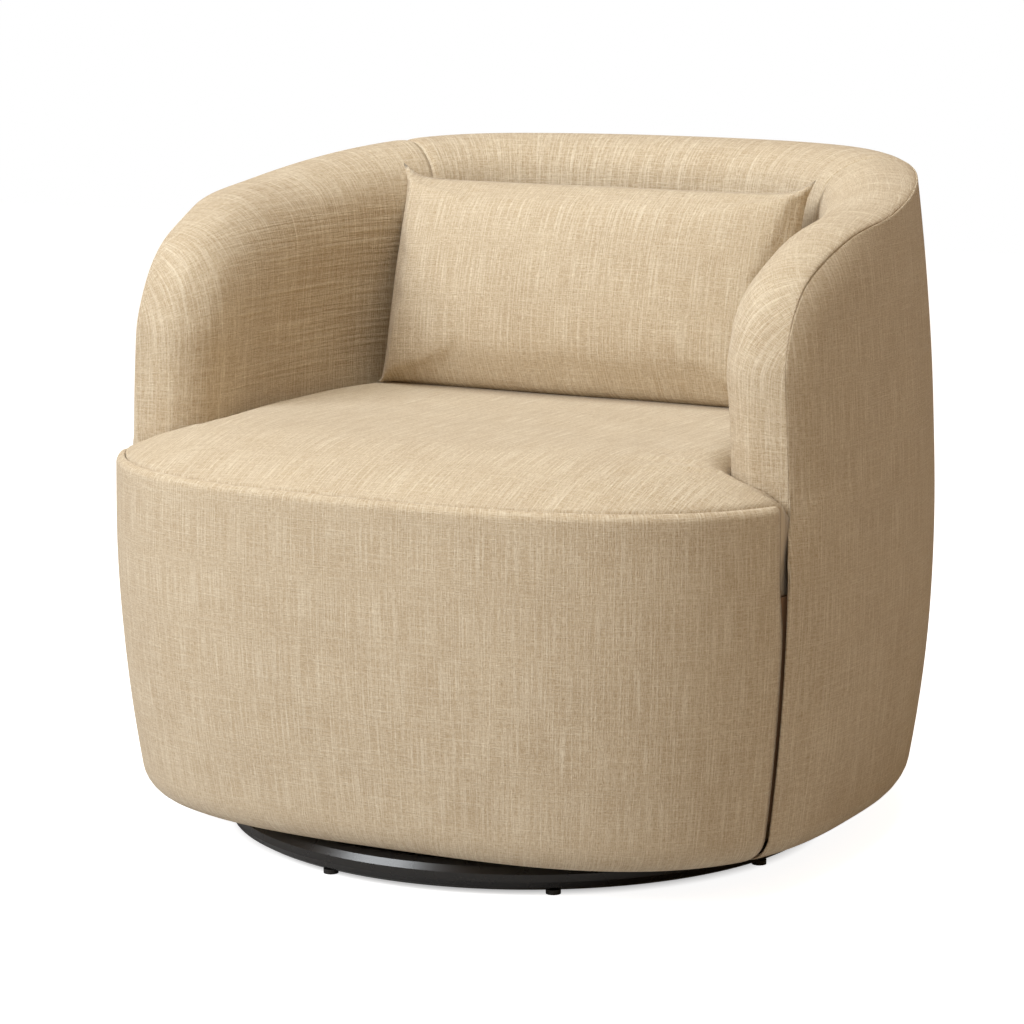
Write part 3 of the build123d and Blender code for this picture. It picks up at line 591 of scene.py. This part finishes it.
# Each point: inset, depth below the top edge, and depth as a share of the seam's drop.
skin_line = [(OUTER_INSET + SEAM_TUCK[0], SEAM_TUCK[1], 1.0)]
skin_line += [
    (OUTER_INSET + (peak - OUTER_INSET) * (1 - cos(pi / 2 * i / 9)), 0.0, 1 - sin(pi / 2 * i / 9))
    for i in range(9)
]
skin_line += [(point.x, point.y, 0.0) for point in roll]
lining_line = [
    (LINING_EDGE + (LINING_PEAK - LINING_EDGE) * i / 10, 0.006 + 0.003 * i, 1.0) for i in range(10)
]
lining_line += [
    (
        LINING_PEAK + (point.x - peak) / (WALL - peak) * (LINING - LINING_PEAK),
        LINING_TOP
        + SEAM_DROP_TOP
        + point.y * (ROLL_DEPTH - LINING_TOP - SEAM_DROP_TOP) / ROLL_DEPTH,
        0.0,
    )
    for point in roll
]


def seam_drop_at(y):
    """How far the outer seam lies inside the top edge."""
    share = smooth((y - NOSE_Y) / SEAM_DROP_REACH)
    return SEAM_DROP_NOSE + (SEAM_DROP_TOP - SEAM_DROP_NOSE) * share


# The arm ends stand back from the apron, and are eased in across the thick of the arm.
NOSE_SET_BACK, NOSE_EASE = 0.0152, 0.0030
NOSE_FADE, LOW_FADE = (-0.055, 0.135), (-0.185, 0.055)  # where it starts, over what length
ARM_INNER, ARM_ACROSS = 0.318, 0.088
# The side cover is drawn over their outer corner, most at the seam and on the crest.
WRAP_REACH, WRAP_NOSE, WRAP_CREST = 0.039, 0.0095, 0.0025
WRAP_POWER, WRAP_FADE, CREST_FOOT, CREST_FADE = 2.5, 0.16, 0.545, 0.06
WRAP_END, WRAP_DEPTH, STEEP_REACH = 0.02, 0.08, 0.06


def wrap_over(point):
    """How far the side cover is drawn over the rounded corner beside the outer seam."""
    if point.y > WRAP_END:
        return 0.0
    if point.y > NOSE_Y + STEEP_REACH and crown_at(point.y) - point.z > WRAP_DEPTH:
        return 0.0
    here, gap, seam = Vector((point.y, point.z)), WRAP_REACH, None
    for a, b in zip(wrap_line, wrap_line[1:]):
        run = b - a
        near = a + run * min(1.0, max(0.0, (here - a).dot(run) / run.length_squared))
        if (near - here).length < gap:
            gap, seam = (near - here).length, near
    if seam is None:
        return 0.0
    reach = WRAP_NOSE + WRAP_CREST * smooth((seam.y - CREST_FOOT) / CREST_FADE)
    return reach * smooth(-seam.x / WRAP_FADE) * (1 - gap / WRAP_REACH) ** WRAP_POWER


def set_back(point, low=0.325, high=0.42):
    """Set the arm ends back from the line of the apron, and round their outer corner."""
    rise = smooth((point.z - low) / (high - low))
    fade = smooth((NOSE_FADE[0] - point.y) / NOSE_FADE[1]) * rise
    fade *= 1 if point.z > high else smooth((LOW_FADE[0] - point.y) / LOW_FADE[1])
    back_y = point.y + NOSE_SET_BACK * fade
    across = min(1.0, max(0.0, (abs(point.x) - ARM_INNER) / ARM_ACROSS))
    shift = half_width_at(back_y) - half_width_at(point.y)
    shift -= across * (NOSE_EASE * fade + wrap_over(point) * rise)
    return Vector((point.x + copysign(1.0, point.x) * shift, back_y, point.z))


def wall_point(y, z, inset, angle=None):
    """Place in the wall: straight across it for the arms, square to it at the back."""
    if angle is None:
        return Vector((half_width_at(y) - inset - draw_in(z), y, z))
    origin, inward = outline_at(angle)
    return origin + inward * (inset + draw_in(z)) + Vector((0, 0, z))


def run_back(line):
    """Length of cloth from each point of a line to its last point."""
    lengths = [0.0]
    for (x0, y0, s0), (x1, y1, s1) in zip(line[:0:-1], line[-2::-1]):
        step = hypot(x1 - x0, y1 - y0 + SEAM_DROP_TOP * (s1 - s0))
        lengths.append(lengths[-1] + step)
    return lengths[::-1]


def wall_section(line, y, angle=None, pinch=0.0):
    """Upright section over the top and down the inner face, each point with its lay."""
    crown_y = y if angle is None else outline_at(angle, peak)[0].y
    along = y if angle is None else WIDEST_Y + PANEL_LAY * angle
    top = crown_at(crown_y)
    drop = SEAM_DROP_TOP if angle is not None else seam_drop_at(y)
    high = top - ROLL_DEPTH
    row = [
        (
            wall_point(y, top - depth - share * drop - pinch * (share < 0.9), inset, angle),
            (along, high + over),
        )
        for (inset, depth, share), over in zip(line, run_back(line))
    ]
    for i in range(1, FAN_COUNT + 1):
        z = high + (PAD_FOOT - high) * i / FAN_COUNT
        row.append((wall_point(y, z, line[-1][0] - pinch, angle), (along, z)))
    return row


def pinch_at(edge):
    """How far the cover is drawn in at the panel seam and one row from it."""
    return PANEL_PINCH * (1.0 if edge == 0 else 0.18 if edge == 1 else 0.0)


nose_line = [Vector((SPINE_Y, crown_at(SPINE_Y)))] + [p for p in crown if p.x < SPINE_Y]
nose_line = spaced(nose_line + [Vector((NOSE_Y, PAD_FOOT))], FAN_COUNT)


def fan_side(i):
    """Direction from the top edge towards the inner face, level at the front."""
    turn = pi / 2 * smooth(i / (FAN_TURNED * FAN_COUNT))
    return Vector((sin(turn), -cos(turn)))


seam_line = [
    nose_line[i] + fan_side(i) * seam_drop_at(nose_line[i].x) for i in range(FAN_COUNT + 1)
]
wrap_line = [Vector((-y, crown_at(-y) - seam_drop_at(-y))) for y in (0.0, 0.02, 0.04, 0.06, 0.08)]
wrap_line += seam_line


def fan(line, i, end):
    """Section round the arm end, turned from upright on top to level at the front."""
    knot, side_way = nose_line[i], fan_side(i)
    start = knot + side_way * ROLL_DEPTH
    row = []
    for (inset, depth, share), over in zip(line, run_back(line)):
        side = knot + side_way * (depth + share * seam_drop_at(knot.x))
        lay = start - side_way * over
        row.append((wall_point(side.x, max(side.y, PAD_FOOT), inset), (lay.x, lay.y)))
    for step in range(1, FAN_STEPS):
        side = start.lerp(Vector((end.y, end.z)), step / FAN_STEPS)
        place = wall_point(side.x, max(side.y, PAD_FOOT), line[-1][0])
        row.append((place, (side.x, side.y)))
    return row


def arm_net(line):
    """Points and faces of one sheet of the right arm, laid out alike for any line."""
    points, faces = [], []

    def add(row):
        first = len(points)
        points.extend(row)
        return list(range(first, len(points)))

    def strip(one, two):
        faces.extend(zip(one, one[1:], two[1:], two))

    head = len(line)
    spine = add(wall_section(line, SPINE_Y))
    last = None
    for i in range(1, FAN_COUNT + 1):
        end = spine[head + i - 1]
        ids = add(fan(line, i, points[end][0])) + [end]
        if last is None:
            strip(ids[:head], spine[:head])
            faces.extend((a, b, spine[head - 1]) for a, b in zip(ids[head - 1:], ids[head:]))
        else:
            strip(ids, last)
        last = ids
    last = spine
    stations = []
    for i in range(1, ARM_STEPS):
        stations.append((SPINE_Y + (WIDEST_Y - SPINE_Y) * i / ARM_STEPS, None))
    for i in range(CORNER_STEPS + 1):
        angle = PANEL_SEAM * i / CORNER_STEPS
        stations.append((outline_at(angle)[0].y, angle))
    for k, (y, angle) in enumerate(stations):
        row = add(wall_section(line, y, angle, pinch_at(len(stations) - 1 - k)))
        strip(last, row)
        last = row
    return points, faces


def back_net(line):
    """Points and faces of one sheet of the back between the panel seams."""
    points, faces, last = [], [], None
    for i in range(BACK_STEPS + 1):
        angle = PANEL_SEAM + (pi - 2 * PANEL_SEAM) * i / BACK_STEPS
        pinch = pinch_at(min(i, BACK_STEPS - i))
        first = len(points)
        points.extend(wall_section(line, outline_at(angle)[0].y, angle, pinch))
        ids = list(range(first, len(points)))
        if last:
            faces.extend(zip(last, last[1:], ids[1:], ids))
        last = ids
    return points, faces


def padded_piece(name, net):
    """Closed pad between the cover's sheet and the lining's, which match point by point."""
    points, faces = net(skin_line)
    under, _ = net(lining_line)
    lays = [lay for _, lay in points + under]
    points, under = ([set_back(p, 0.0, 0.1) for p, _ in sheet] for sheet in (points, under))
    count = len(points)
    edges = dict.fromkeys(edge for face in faces for edge in zip(face, face[1:] + face[:1]))
    every = list(faces) + [tuple(i + count for i in reversed(face)) for face in faces]
    every += [(b, a, a + count, b + count) for a, b in edges if (b, a) not in edges]
    mesh = bpy.data.meshes.new(name)
    mesh.from_pydata([tuple(point) for point in points + under], [], every)
    form = bmesh.new()
    form.from_mesh(mesh)
    bmesh.ops.recalc_face_normals(form, faces=form.faces)
    form.to_mesh(mesh)
    form.free()
    layer = mesh.attributes.new("grain", "FLOAT_VECTOR", "POINT")
    for i, (across, along) in enumerate(lays):
        layer.data[i].vector = (across, along, 0.4)
    piece = bpy.data.objects.new(name, mesh)
    bpy.context.collection.objects.link(piece)
    return piece


# Where the wrinkles start or end along and up the arm, over what length, and how far in.
WRINKLES_FRONT, WRINKLES_BACK = (-0.19, 0.10), (0.16, 0.10)
WRINKLES_LOW, WRINKLES_HIGH, WRINKLES_WITHIN = (0.44, 0.06), (0.64, 0.05), 0.345


def crease_arm(piece, strength):
    """Mark where the cover of the inner arm is drawn into fine level wrinkles; the cloth paints
    shade into their hollows.
    """
    layer = piece.data.attributes.new("crease", "FLOAT", "POINT")
    for i, vertex in enumerate(piece.data.vertices):
        x, y, z = abs(vertex.co.x), vertex.co.y, vertex.co.z
        starts = smooth((y - WRINKLES_FRONT[0]) / WRINKLES_FRONT[1])
        fade = starts * (1 - smooth((y - WRINKLES_BACK[0]) / WRINKLES_BACK[1]))
        rises = smooth((z - WRINKLES_LOW[0]) / WRINKLES_LOW[1])
        fade *= rises * (1 - smooth((z - WRINKLES_HIGH[0]) / WRINKLES_HIGH[1]))
        fade *= x < WRINKLES_WITHIN
        layer.data[i].value = strength * fade * (0.7 + 0.6 * noise.noise(vertex.co * 9.0))


arm_right = padded_piece("arm_pad_right_cloth", arm_net)
back = padded_piece("back_pad_cloth", back_net)
arm_left = arm_right.copy()
arm_left.data = arm_right.data.copy()
arm_left.name = arm_left.data.name = "arm_pad_left_cloth"
bpy.context.collection.objects.link(arm_left)
for vertex in arm_left.data.vertices:
    vertex.co.x = -vertex.co.x
arm_left.data.flip_normals()

for piece, node in ((arm_right, "arm_pad_right"), (arm_left, "arm_pad_left"), (back, "back_pad")):
    if piece is not back:
        crease_arm(piece, 1.0 if piece is arm_left else 0.5)
    finished(piece, linen_cloth)
    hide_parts(node)

# ------------------------------------------------------------ the outside cover
# One wide panel round the arms and back, from the outer seam down, pulled
# under the body and stapled. Its edges are folded in along the seams.

COVER, TURN_UNDER, FOLD = 0.003, 0.024, 0.0024
SIDE_COLUMNS, SIDE_LEVELS, SIDE_CROWDING = 150, 44, 1.7
NOSE_COLUMNS, NOSE_CROWDING, NOSE_BAND, NOSE_SPREAD = 16, 2.2, 0.066, 0.0638
NOSE_TURN = (0.0026, 0.0007, 0.0)  # at the folded edge and one and two columns in

seam_path = sorted((point.x, point.y) for point in seam_line if point.y > NOSE_TOP - 0.05)


def seam_at(y):
    """Height of the outer seam."""
    if y > SPINE_Y:
        return crown_at(y) - seam_drop_at(y)
    for (y0, z0), (y1, z1) in zip(seam_path, seam_path[1:]):
        if y <= y1:
            return z0 + (z1 - z0) * max(0.0, y - y0) / max(y1 - y0, 1e-9)
    return crown_at(y) - seam_drop_at(y)


def under_roll(steps):
    """The rounded lower edge: inset and height from the straight side inwards."""
    tilt = 2 * DRAW_BELOW * (GIRTH - FLOOR_GAP - BOTTOM_ROLL) / DRAW_SPAN**2
    start = FLOOR_GAP + BOTTOM_ROLL * (1 - sin(tilt))
    centre = draw_in(start) + BOTTOM_ROLL * cos(tilt)
    turns = [tilt + (pi / 2 - tilt) * i / steps for i in range(steps + 1)]
    roll = [
        (centre - BOTTOM_ROLL * cos(turn), FLOOR_GAP + BOTTOM_ROLL * (1 - sin(turn)))
        for turn in turns
    ]
    return roll + [(centre + TURN_UNDER / 2, FLOOR_GAP), (centre + TURN_UNDER, FLOOR_GAP)]


def side_profile(top):
    """Outer face of the cover from its folded top edge to its stapled edge."""
    roll = under_roll(8)
    low, start = roll[0][1], draw_in(top)
    line = [(FOLD + start, top - 0.5 * FOLD), (0.35 * FOLD + start, top - 0.05 * FOLD)]
    for i in range(1, SIDE_LEVELS):
        z = top + (low - top) * (i / SIDE_LEVELS) ** SIDE_CROWDING
        line.append((draw_in(z), z))
    return line + roll


def pulled(point, strength=0.0009):
    """Small unevenness of cloth pulled over wadding."""
    place = Vector((point.x * 5.0, point.y * 5.0, point.z * 3.0))
    return strength * (noise.noise(place) + 0.5 * noise.noise(place * 3.1))


def cover_rows(angles):
    """Rows of the outside cover, one per angle."""
    rows = []
    for k, angle in enumerate(angles):
        origin, inward = outline_at(angle)
        across = Vector((-copysign(1.0, origin.x), 0.0, 0.0))
        beside_arm = NOSE_Y <= origin.y < WIDEST_Y
        turned = NOSE_TURN[min(k, len(angles) - 1 - k, 2)]
        row = []
        for inset, z in side_profile(seam_at(origin.y)):
            way = across if beside_arm and z > GIRTH else inward
            point = origin + way * (inset + turned) + Vector((0, 0, z))
            row.append(set_back(point - inward * pulled(point)))
        rows.append(row)
    return rows


nose_ys = [
    NOSE_Y + SEAM_DROP_NOSE + NOSE_SPREAD * (i / NOSE_COLUMNS) ** NOSE_CROWDING
    for i in range(NOSE_COLUMNS)
]
nose_angles = [angle_of(y) for y in nose_ys]
first_angle = angle_of(NOSE_Y + NOSE_BAND)
side_angles = nose_angles + [
    first_angle + (pi - 2 * first_angle) * i / SIDE_COLUMNS for i in range(SIDE_COLUMNS + 1)
]
side_angles += [pi - angle for angle in reversed(nose_angles)]


def settled(piece):
    """Keep the shape that a piece's modifiers give it."""
    shape = bpy.data.meshes.new_from_object(
        piece.evaluated_get(bpy.context.evaluated_depsgraph_get())
    )
    piece.modifiers.clear()
    piece.data = shape


def thicken(piece):
    """Give a cover its cloth and wadding."""
    solid = piece.modifiers.new("thickness", "SOLIDIFY")
    solid.thickness, solid.offset = COVER, -1.0
    settled(piece)


def face_out(piece, centre):
    """Turn the normals of an open sheet away from a point."""
    form = bmesh.new()
    form.from_mesh(piece.data)
    form.normal_update()
    lean = sum((face.calc_center_median() - centre).dot(face.normal) for face in form.faces)
    if lean < 0:
        bmesh.ops.reverse_faces(form, faces=form.faces)
    form.to_mesh(piece.data)
    form.free()


BODY_MIDDLE = Vector((0.0, WIDEST_Y, 0.35))
outside = grid_piece("outside_cover_cloth", cover_rows(side_angles))
face_out(outside, BODY_MIDDLE)
thicken(outside)
lay_cloth(outside, round_back, upward)
finished(outside, linen_cloth)
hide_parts("outside_cover")

# -------------------------------------------------------------- the front cover
# The apron below the seat, from one arm to the other. Its top edge is sewn to
# the seat cover and it ends in an upright seam at each side.

FRONT_COLUMNS, FRONT_LEVELS, SEAM_INSET = 120, 40, 0.009
GAPE, GAPE_FOOT, GAPE_FADE = 0.006, 0.27, 0.08
APRON_TURN, APRON_UNEVEN = (0.0045, 0.001), 0.0012
front_angle = angle_of(NOSE_Y - 0.0004)
front_angles = [
    -pi - front_angle + (pi + 2 * front_angle) * i / FRONT_COLUMNS
    for i in range(FRONT_COLUMNS + 1)
]


def apron_turn(edge, z):
    """Depth of the upright seams, which gape a little below the seat."""
    gape = GAPE * smooth((z - GAPE_FOOT) / GAPE_FADE)
    return (APRON_TURN[0] + gape, APRON_TURN[1] + 0.4 * gape, 0.0)[min(edge, 2)]


def apron_profile():
    """Outer face of the apron: rolled in at the seat seam, stapled below."""
    roll = under_roll(8)
    top, low = SEAT_SEAM - SEAM_INSET, roll[0][1]
    base = draw_in(top)
    line = [
        (base + SEAM_INSET + 0.0010, SEAT_SEAM - 0.0022),
        (base + SEAM_INSET, SEAT_SEAM - 0.0006),
    ]
    for i in range(1, 6):
        turn = pi / 2 * i / 6
        inset = base + SEAM_INSET * (1 - sin(turn))
        line.append((inset, SEAT_SEAM - 0.0004 - SEAM_INSET * (1 - cos(turn))))
    for i in range(FRONT_LEVELS):
        z = top + (low - top) * i / FRONT_LEVELS
        line.append((draw_in(z), z))
    return line + roll


rows = []
for k, angle in enumerate(front_angles):
    origin, inward = outline_at(angle)
    row = []
    for inset, z in apron_profile():
        turned = apron_turn(min(k, FRONT_COLUMNS - k), z)
        point = origin + inward * (inset + turned) + Vector((0, 0, z))
        row.append(point - inward * pulled(point, APRON_UNEVEN))
    rows.append(row)
apron = grid_piece("front_cover_cloth", rows)
face_out(apron, BODY_MIDDLE)
thicken(apron)
lay_cloth(apron, round_body, upward)
finished(apron, linen_cloth)
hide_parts("front_cover")

# ------------------------------------------------------------------- tight seat
# Foam on the spring deck under one cover, crowned towards the middle. It is
# sewn to the apron in front and pulled down between the arms and the back.

SEAT_RISE, RISE_REACH, RISE_POWER = 0.040, 0.170, 2.2
SEAT_MIDDLE = Vector((0.0, NOSE_Y - 0.066, 0.0))
SEAT_PLAY, TUCK_DEPTH, TUCK_REACH = 0.0015, 0.016, 0.010
BACK_LEVEL, ARM_LEVEL = 0.45, 0.44  # heights at which the seat meets the walls
FOLD_FROM, FOLD_BACK, FOLD_COUNT, FOLD_DEPTHS = 0.352, 0.030, 21, (0.0016, 0.0009)
FOLD_START, FOLD_END, FOLD_WAY, FOLD_SPREAD = 0.03, (0.04, 0.13), -0.35, 0.65
SPOKES, RINGS = 220, 46


def seat_edge():
    """Outline of the seat from above: between the walls, and wider before the arms."""
    right = []
    for i in range(24):
        angle = pi / 2 - (pi / 2) * i / 24
        right.append(outline_at(angle, WALL + draw_in(BACK_LEVEL) + SEAT_PLAY)[0])
    ear = NOSE_Y + NOSE_SET_BACK - 0.0006
    for i in range(18):
        y = WIDEST_Y + (ear + ROLL_DEPTH - WIDEST_Y) * i / 18
        right.append(wall_point(y, ARM_LEVEL, WALL + SEAT_PLAY))
    for point in reversed(roll[3:]):
        right.append(wall_point(ear + point.y, ARM_LEVEL, point.x + SEAT_PLAY))
    right.append(Vector((half_width_at(ear) - SEAM_INSET - 0.030, ear, 0.0)))
    right.append(Vector((half_width_at(ear) - SEAM_INSET - 0.006, ear - 0.001, 0.0)))
    start = angle_of(ear - 0.002)
    for i in range(40):
        angle = start + (-pi / 2 - start) * i / 39
        right.append(outline_at(angle, SEAM_INSET + draw_in(SEAT_SEAM) + 0.0006)[0])
    for point in right:
        point.z = 0.0
    left = [Vector((-point.x, point.y, 0.0)) for point in reversed(right[1:-1])]
    return right + left


def body_inset(point):
    """Distance of a point from the body's outline, by a short search."""
    angle = atan2(point.y - WIDEST_Y, point.x)
    flat = Vector((point.x, point.y, 0.0))
    return min((outline_at(angle + step * 0.02)[0] - flat).length for step in range(-10, 11))


def pull_folds(point):
    """Folds that run from the arm ends towards the middle of the front seam."""
    height = 0.0
    for side, depth in zip((1, -1), FOLD_DEPTHS):
        away = Vector((point.x - side * FOLD_FROM, point.y - NOSE_Y - FOLD_BACK))
        reach = away.length
        fan_out = atan2(away.y, -side * away.x)
        fade = smooth(reach / FOLD_START) * (1 - smooth((reach - FOLD_END[0]) / FOLD_END[1]))
        wave = sin(FOLD_COUNT * fan_out + 3 * noise.noise(point * 9))
        height += depth * fade * wave * exp(-((fan_out - FOLD_WAY) / FOLD_SPREAD) ** 2)
    return height


corners = seat_edge()
edge = spaced(corners + corners[:1], SPOKES)[:-1]
rows = []
for k in range(RINGS):
    share = 1 - (1 - k / RINGS) ** 1.5
    row = []
    for rim in edge:
        point = SEAT_MIDDLE.lerp(rim, 1 - share)
        inset = body_inset(point)
        t = min(1.0, max(0.0, (inset - SEAM_INSET) / RISE_REACH))
        height = SEAT_SEAM + SEAT_RISE * (1 - (1 - t) ** RISE_POWER)
        if rim.y > NOSE_Y + NOSE_SET_BACK - 0.002:
            height -= TUCK_DEPTH * exp(-(point - rim).length / TUCK_REACH)
        point.z = height + 0.0012 * noise.noise(Vector((point.x * 6, point.y * 6, 0.0)))
        point.z += pull_folds(point)
        row.append(point)
    rows.append(row)
skirt = [[Vector((p.x, p.y, PAD_FOOT)) for p in rows[0]]]
for drop in (0.05, 0.02, 0.006):
    skirt.append([Vector((p.x, p.y, max(PAD_FOOT, p.z - drop))) for p in rows[0]])
seat = grid_piece("tight_seat_cloth", skirt + rows, closed=True)
lay_cloth(seat, lambda place: place.x, lambda place: place.y, (0.4, 0.2))
finished(seat, linen_cloth)
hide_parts("seat_cover", "seat_foam")

# --------------------------------------------------------------- seam stitches
# The front seam of the seat is top-stitched with heavy pale thread, one short
# stitch every few millimetres just behind the seam.

STITCH_PITCH, STITCH_LONG, STITCH_WIDE, STITCH_PROUD = 0.0048, 0.0033, 0.0008, 0.0004
STITCH_BEHIND, STITCH_ABOVE = 0.0022, 0.0010
stitch_line = [
    outline_at(
        front_angles[2] + (front_angles[-3] - front_angles[2]) * i / 600,
        SEAM_INSET + draw_in(SEAT_SEAM) + STITCH_BEHIND,
    )[0] + Vector((0, 0, SEAT_SEAM + STITCH_ABOVE))
    for i in range(601)
]
run = sum((b - a).length for a, b in zip(stitch_line, stitch_line[1:]))
knots = spaced(stitch_line, int(run / STITCH_PITCH))
points, faces = [], []
for a, b in zip(knots, knots[1:]):
    along = (b - a).normalized()
    across = Vector((-along.y, along.x, 0.0))
    middle = (a + b) / 2
    first = len(points)
    for end, size in ((-0.5, 0.35), (-0.28, 1.0), (0.28, 1.0), (0.5, 0.35)):
        for side, rise in ((-0.5, 0.0), (0.0, 1.0), (0.5, 0.0), (0.0, -1.0)):
            points.append(
                middle
                + along * STITCH_LONG * end
                + across * STITCH_WIDE * side * size
                + Vector((0, 0, STITCH_PROUD * rise * size))
            )
    for ring in range(3):
        for i in range(4):
            k = (i + 1) % 4
            low_ring, high_ring = first + 4 * ring, first + 4 * ring + 4
            faces.append((low_ring + i, low_ring + k, high_ring + k, high_ring + i))
    faces += [tuple(first + i for i in (3, 2, 1, 0)), tuple(first + 12 + i for i in range(4))]
mesh = bpy.data.meshes.new("seam_stitches")
mesh.from_pydata(points, [], faces)
stitches = bpy.data.objects.new("seam_stitches", mesh)
bpy.context.collection.objects.link(stitches)
thread = Finish(bpy.data.materials.new("sewing_thread"))
twist = thread.node("ShaderNodeTexNoise", {}, {"Scale": 900.0, "Detail": 1.0})
thread_tone = thread.node(
    "ShaderNodeMix",
    {"data_type": "RGBA"},
    {0: twist, "A": (0.86, 0.76, 0.58, 1.0), "B": (0.70, 0.57, 0.40, 1.0)},
    out=2,
)
finished(
    stitches,
    thread.surface(
        thread.node("ShaderNodeBsdfPrincipled", {}, {"Base Color": thread_tone, "Roughness": 0.7})
    ),
)

# ------------------------------------------------------------------- dust cover
# Thin black bonded cloth stapled under the base board, with a square cut out
# for the swivel plate.

SWIVEL_Y, PLATE_HALF = -0.0382, 0.103
DUST_Z, DUST_INSET, DUST_SAG, DUST_POINTS = 0.0435, 0.0909, 0.0012, 96
dust_edge = [outline_at(2 * pi * i / DUST_POINTS, DUST_INSET)[0] for i in range(DUST_POINTS)]
form = bmesh.new()
rings = [[form.verts.new((p.x, p.y, DUST_Z)) for p in dust_edge]]
for share in (0.25, 0.5, 0.75, 1.0):
    ring = []
    for p in dust_edge:
        turn = atan2(p.y - SWIVEL_Y, p.x)
        reach = PLATE_HALF / max(abs(cos(turn)), abs(sin(turn)))
        inner = Vector((reach * cos(turn), SWIVEL_Y + reach * sin(turn), 0.0))
        q = Vector((p.x, p.y, 0.0)).lerp(inner, share)
        ring.append(form.verts.new((q.x, q.y, DUST_Z - DUST_SAG * sin(pi * share))))
    rings.append(ring)
for ring, following in zip(rings, rings[1:]):
    for i in range(DUST_POINTS):
        k = (i + 1) % DUST_POINTS
        form.faces.new((ring[i], ring[k], following[k], following[i]))
mesh = bpy.data.meshes.new("dust_cover_cloth")
form.to_mesh(mesh)
form.free()
dust = bpy.data.objects.new("dust_cover_cloth", mesh)
bpy.context.collection.objects.link(dust)
bonded = felted("dust_cloth", (0.008, 0.008, 0.009, 1.0), (0.03, 0.03, 0.032, 1.0), 700.0)
finished(dust, bonded)
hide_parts("dust_cover")

# ---------------------------------------------------------------- lumbar pillow
# A loose pillow: two rectangles of the cover cloth sewn edge to edge and
# filled with fibre, plump in the middle and drawn in between its four corners.

PILLOW_WIDE, PILLOW_HIGH, PILLOW_THICK = 0.528, 0.262, 0.120
PILLOW_LEAN, PILLOW_X, PILLOW_Y = radians(17.0), -0.012, 0.125
PILLOW_FOOT, PILLOW_SWELL = 0.4573, 0.008
PILLOW_SAG, SAG_REACH = 0.020, 0.150
PILLOW_PRESSURE, PILLOW_FRAMES = 4.0, 20
SIDE_DRAW, EDGE_DRAW, FULLNESS = 0.009, 0.012, 0.55
COLUMNS, ROWS = 92, 48
pillow_up = Vector((0.0, sin(PILLOW_LEAN), cos(PILLOW_LEAN)))
pillow_out = Vector((0.0, -cos(PILLOW_LEAN), sin(PILLOW_LEAN)))
pillow_middle = Vector((PILLOW_X, PILLOW_Y, PILLOW_FOOT + PILLOW_HIGH / 2 * cos(PILLOW_LEAN)))


def pillow_net(place):
    """Two sheets of cloth sewn edge to edge, as points (u, v, side) turned into places."""
    points, faces, ids = [], [], {}
    for side in (1, -1):
        for j in range(ROWS + 1):
            for i in range(COLUMNS + 1):
                rim = i in (0, COLUMNS) or j in (0, ROWS)
                if side == -1 and rim:
                    ids[side, i, j] = ids[1, i, j]
                    continue
                ids[side, i, j] = len(points)
                points.append(place(2 * i / COLUMNS - 1, 2 * j / ROWS - 1, side))
        for j in range(ROWS):
            for i in range(COLUMNS):
                face = [(i, j), (i + 1, j), (i + 1, j + 1), (i, j + 1)]
                faces.append([ids[(side, *corner)] for corner in face[::side]])
    mesh = bpy.data.meshes.new("lumbar_pillow_cloth")
    mesh.from_pydata(points, [], faces)
    piece = bpy.data.objects.new("lumbar_pillow_cloth", mesh)
    bpy.context.collection.objects.link(piece)
    return piece


def plump(u, v, side):
    """Shape of the filled pillow without a simulation, lying flat."""
    full = max(0.0, (1 - abs(u) ** 2.6) * (1 - abs(v) ** 2.4)) ** FULLNESS
    draw_u, draw_v = SIDE_DRAW * (1 - abs(v) ** 7), EDGE_DRAW * (1 - abs(u) ** 12)
    return (
        u * (PILLOW_WIDE / 2 - draw_u),
        v * (PILLOW_HIGH / 2 - draw_v),
        side * PILLOW_THICK / 2 * full,
    )


pillow = pillow_net(plump)
at_rest = [vertex.co.copy() for vertex in pillow.data.vertices]
filling = pillow.modifiers.new("filling", "CLOTH")
filling.settings.quality = 8
filling.settings.tension_stiffness = filling.settings.compression_stiffness = 15.0
filling.settings.shear_stiffness = 5.0
filling.settings.bending_stiffness = 0.5
filling.settings.use_pressure = True
filling.settings.uniform_pressure_force = PILLOW_PRESSURE
filling.settings.effector_weights.gravity = 0.0
for step in range(1, PILLOW_FRAMES + 1):
    bpy.context.scene.frame_set(step)
settled(pillow)
bpy.context.scene.frame_set(1)
for vertex, start in zip(pillow.data.vertices, at_rest):
    move = vertex.co - start
    if move.length > PILLOW_SWELL:
        vertex.co = start + move * PILLOW_SWELL / move.length

sizes = [
    [limit(vertex.co[axis] for vertex in pillow.data.vertices) for limit in (min, max)]
    for axis in range(3)
]
for vertex in pillow.data.vertices:
    across, along, depth = (
        (vertex.co[axis] - (low + high) / 2) / (high - low) * wanted
        for axis, (low, high), wanted in zip(
            range(3), sizes, (PILLOW_WIDE, PILLOW_HIGH, PILLOW_THICK)
        )
    )
    vertex.co = pillow_middle + Vector((across, 0, 0)) + pillow_up * along + pillow_out * depth
    sunk = vertex.co.z - PILLOW_SAG * (1 - smooth((vertex.co.z - PILLOW_FOOT) / SAG_REACH))
    vertex.co.z = max(sunk, PILLOW_FOOT + 0.0004)
lay_cloth(
    pillow,
    lambda place: (place - pillow_middle).x,
    lambda place: (place - pillow_middle).dot(pillow_up),
    (0.9, 0.5),
)
finished(pillow, linen_cloth, body="pillow")
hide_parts("lumbar_pillow")
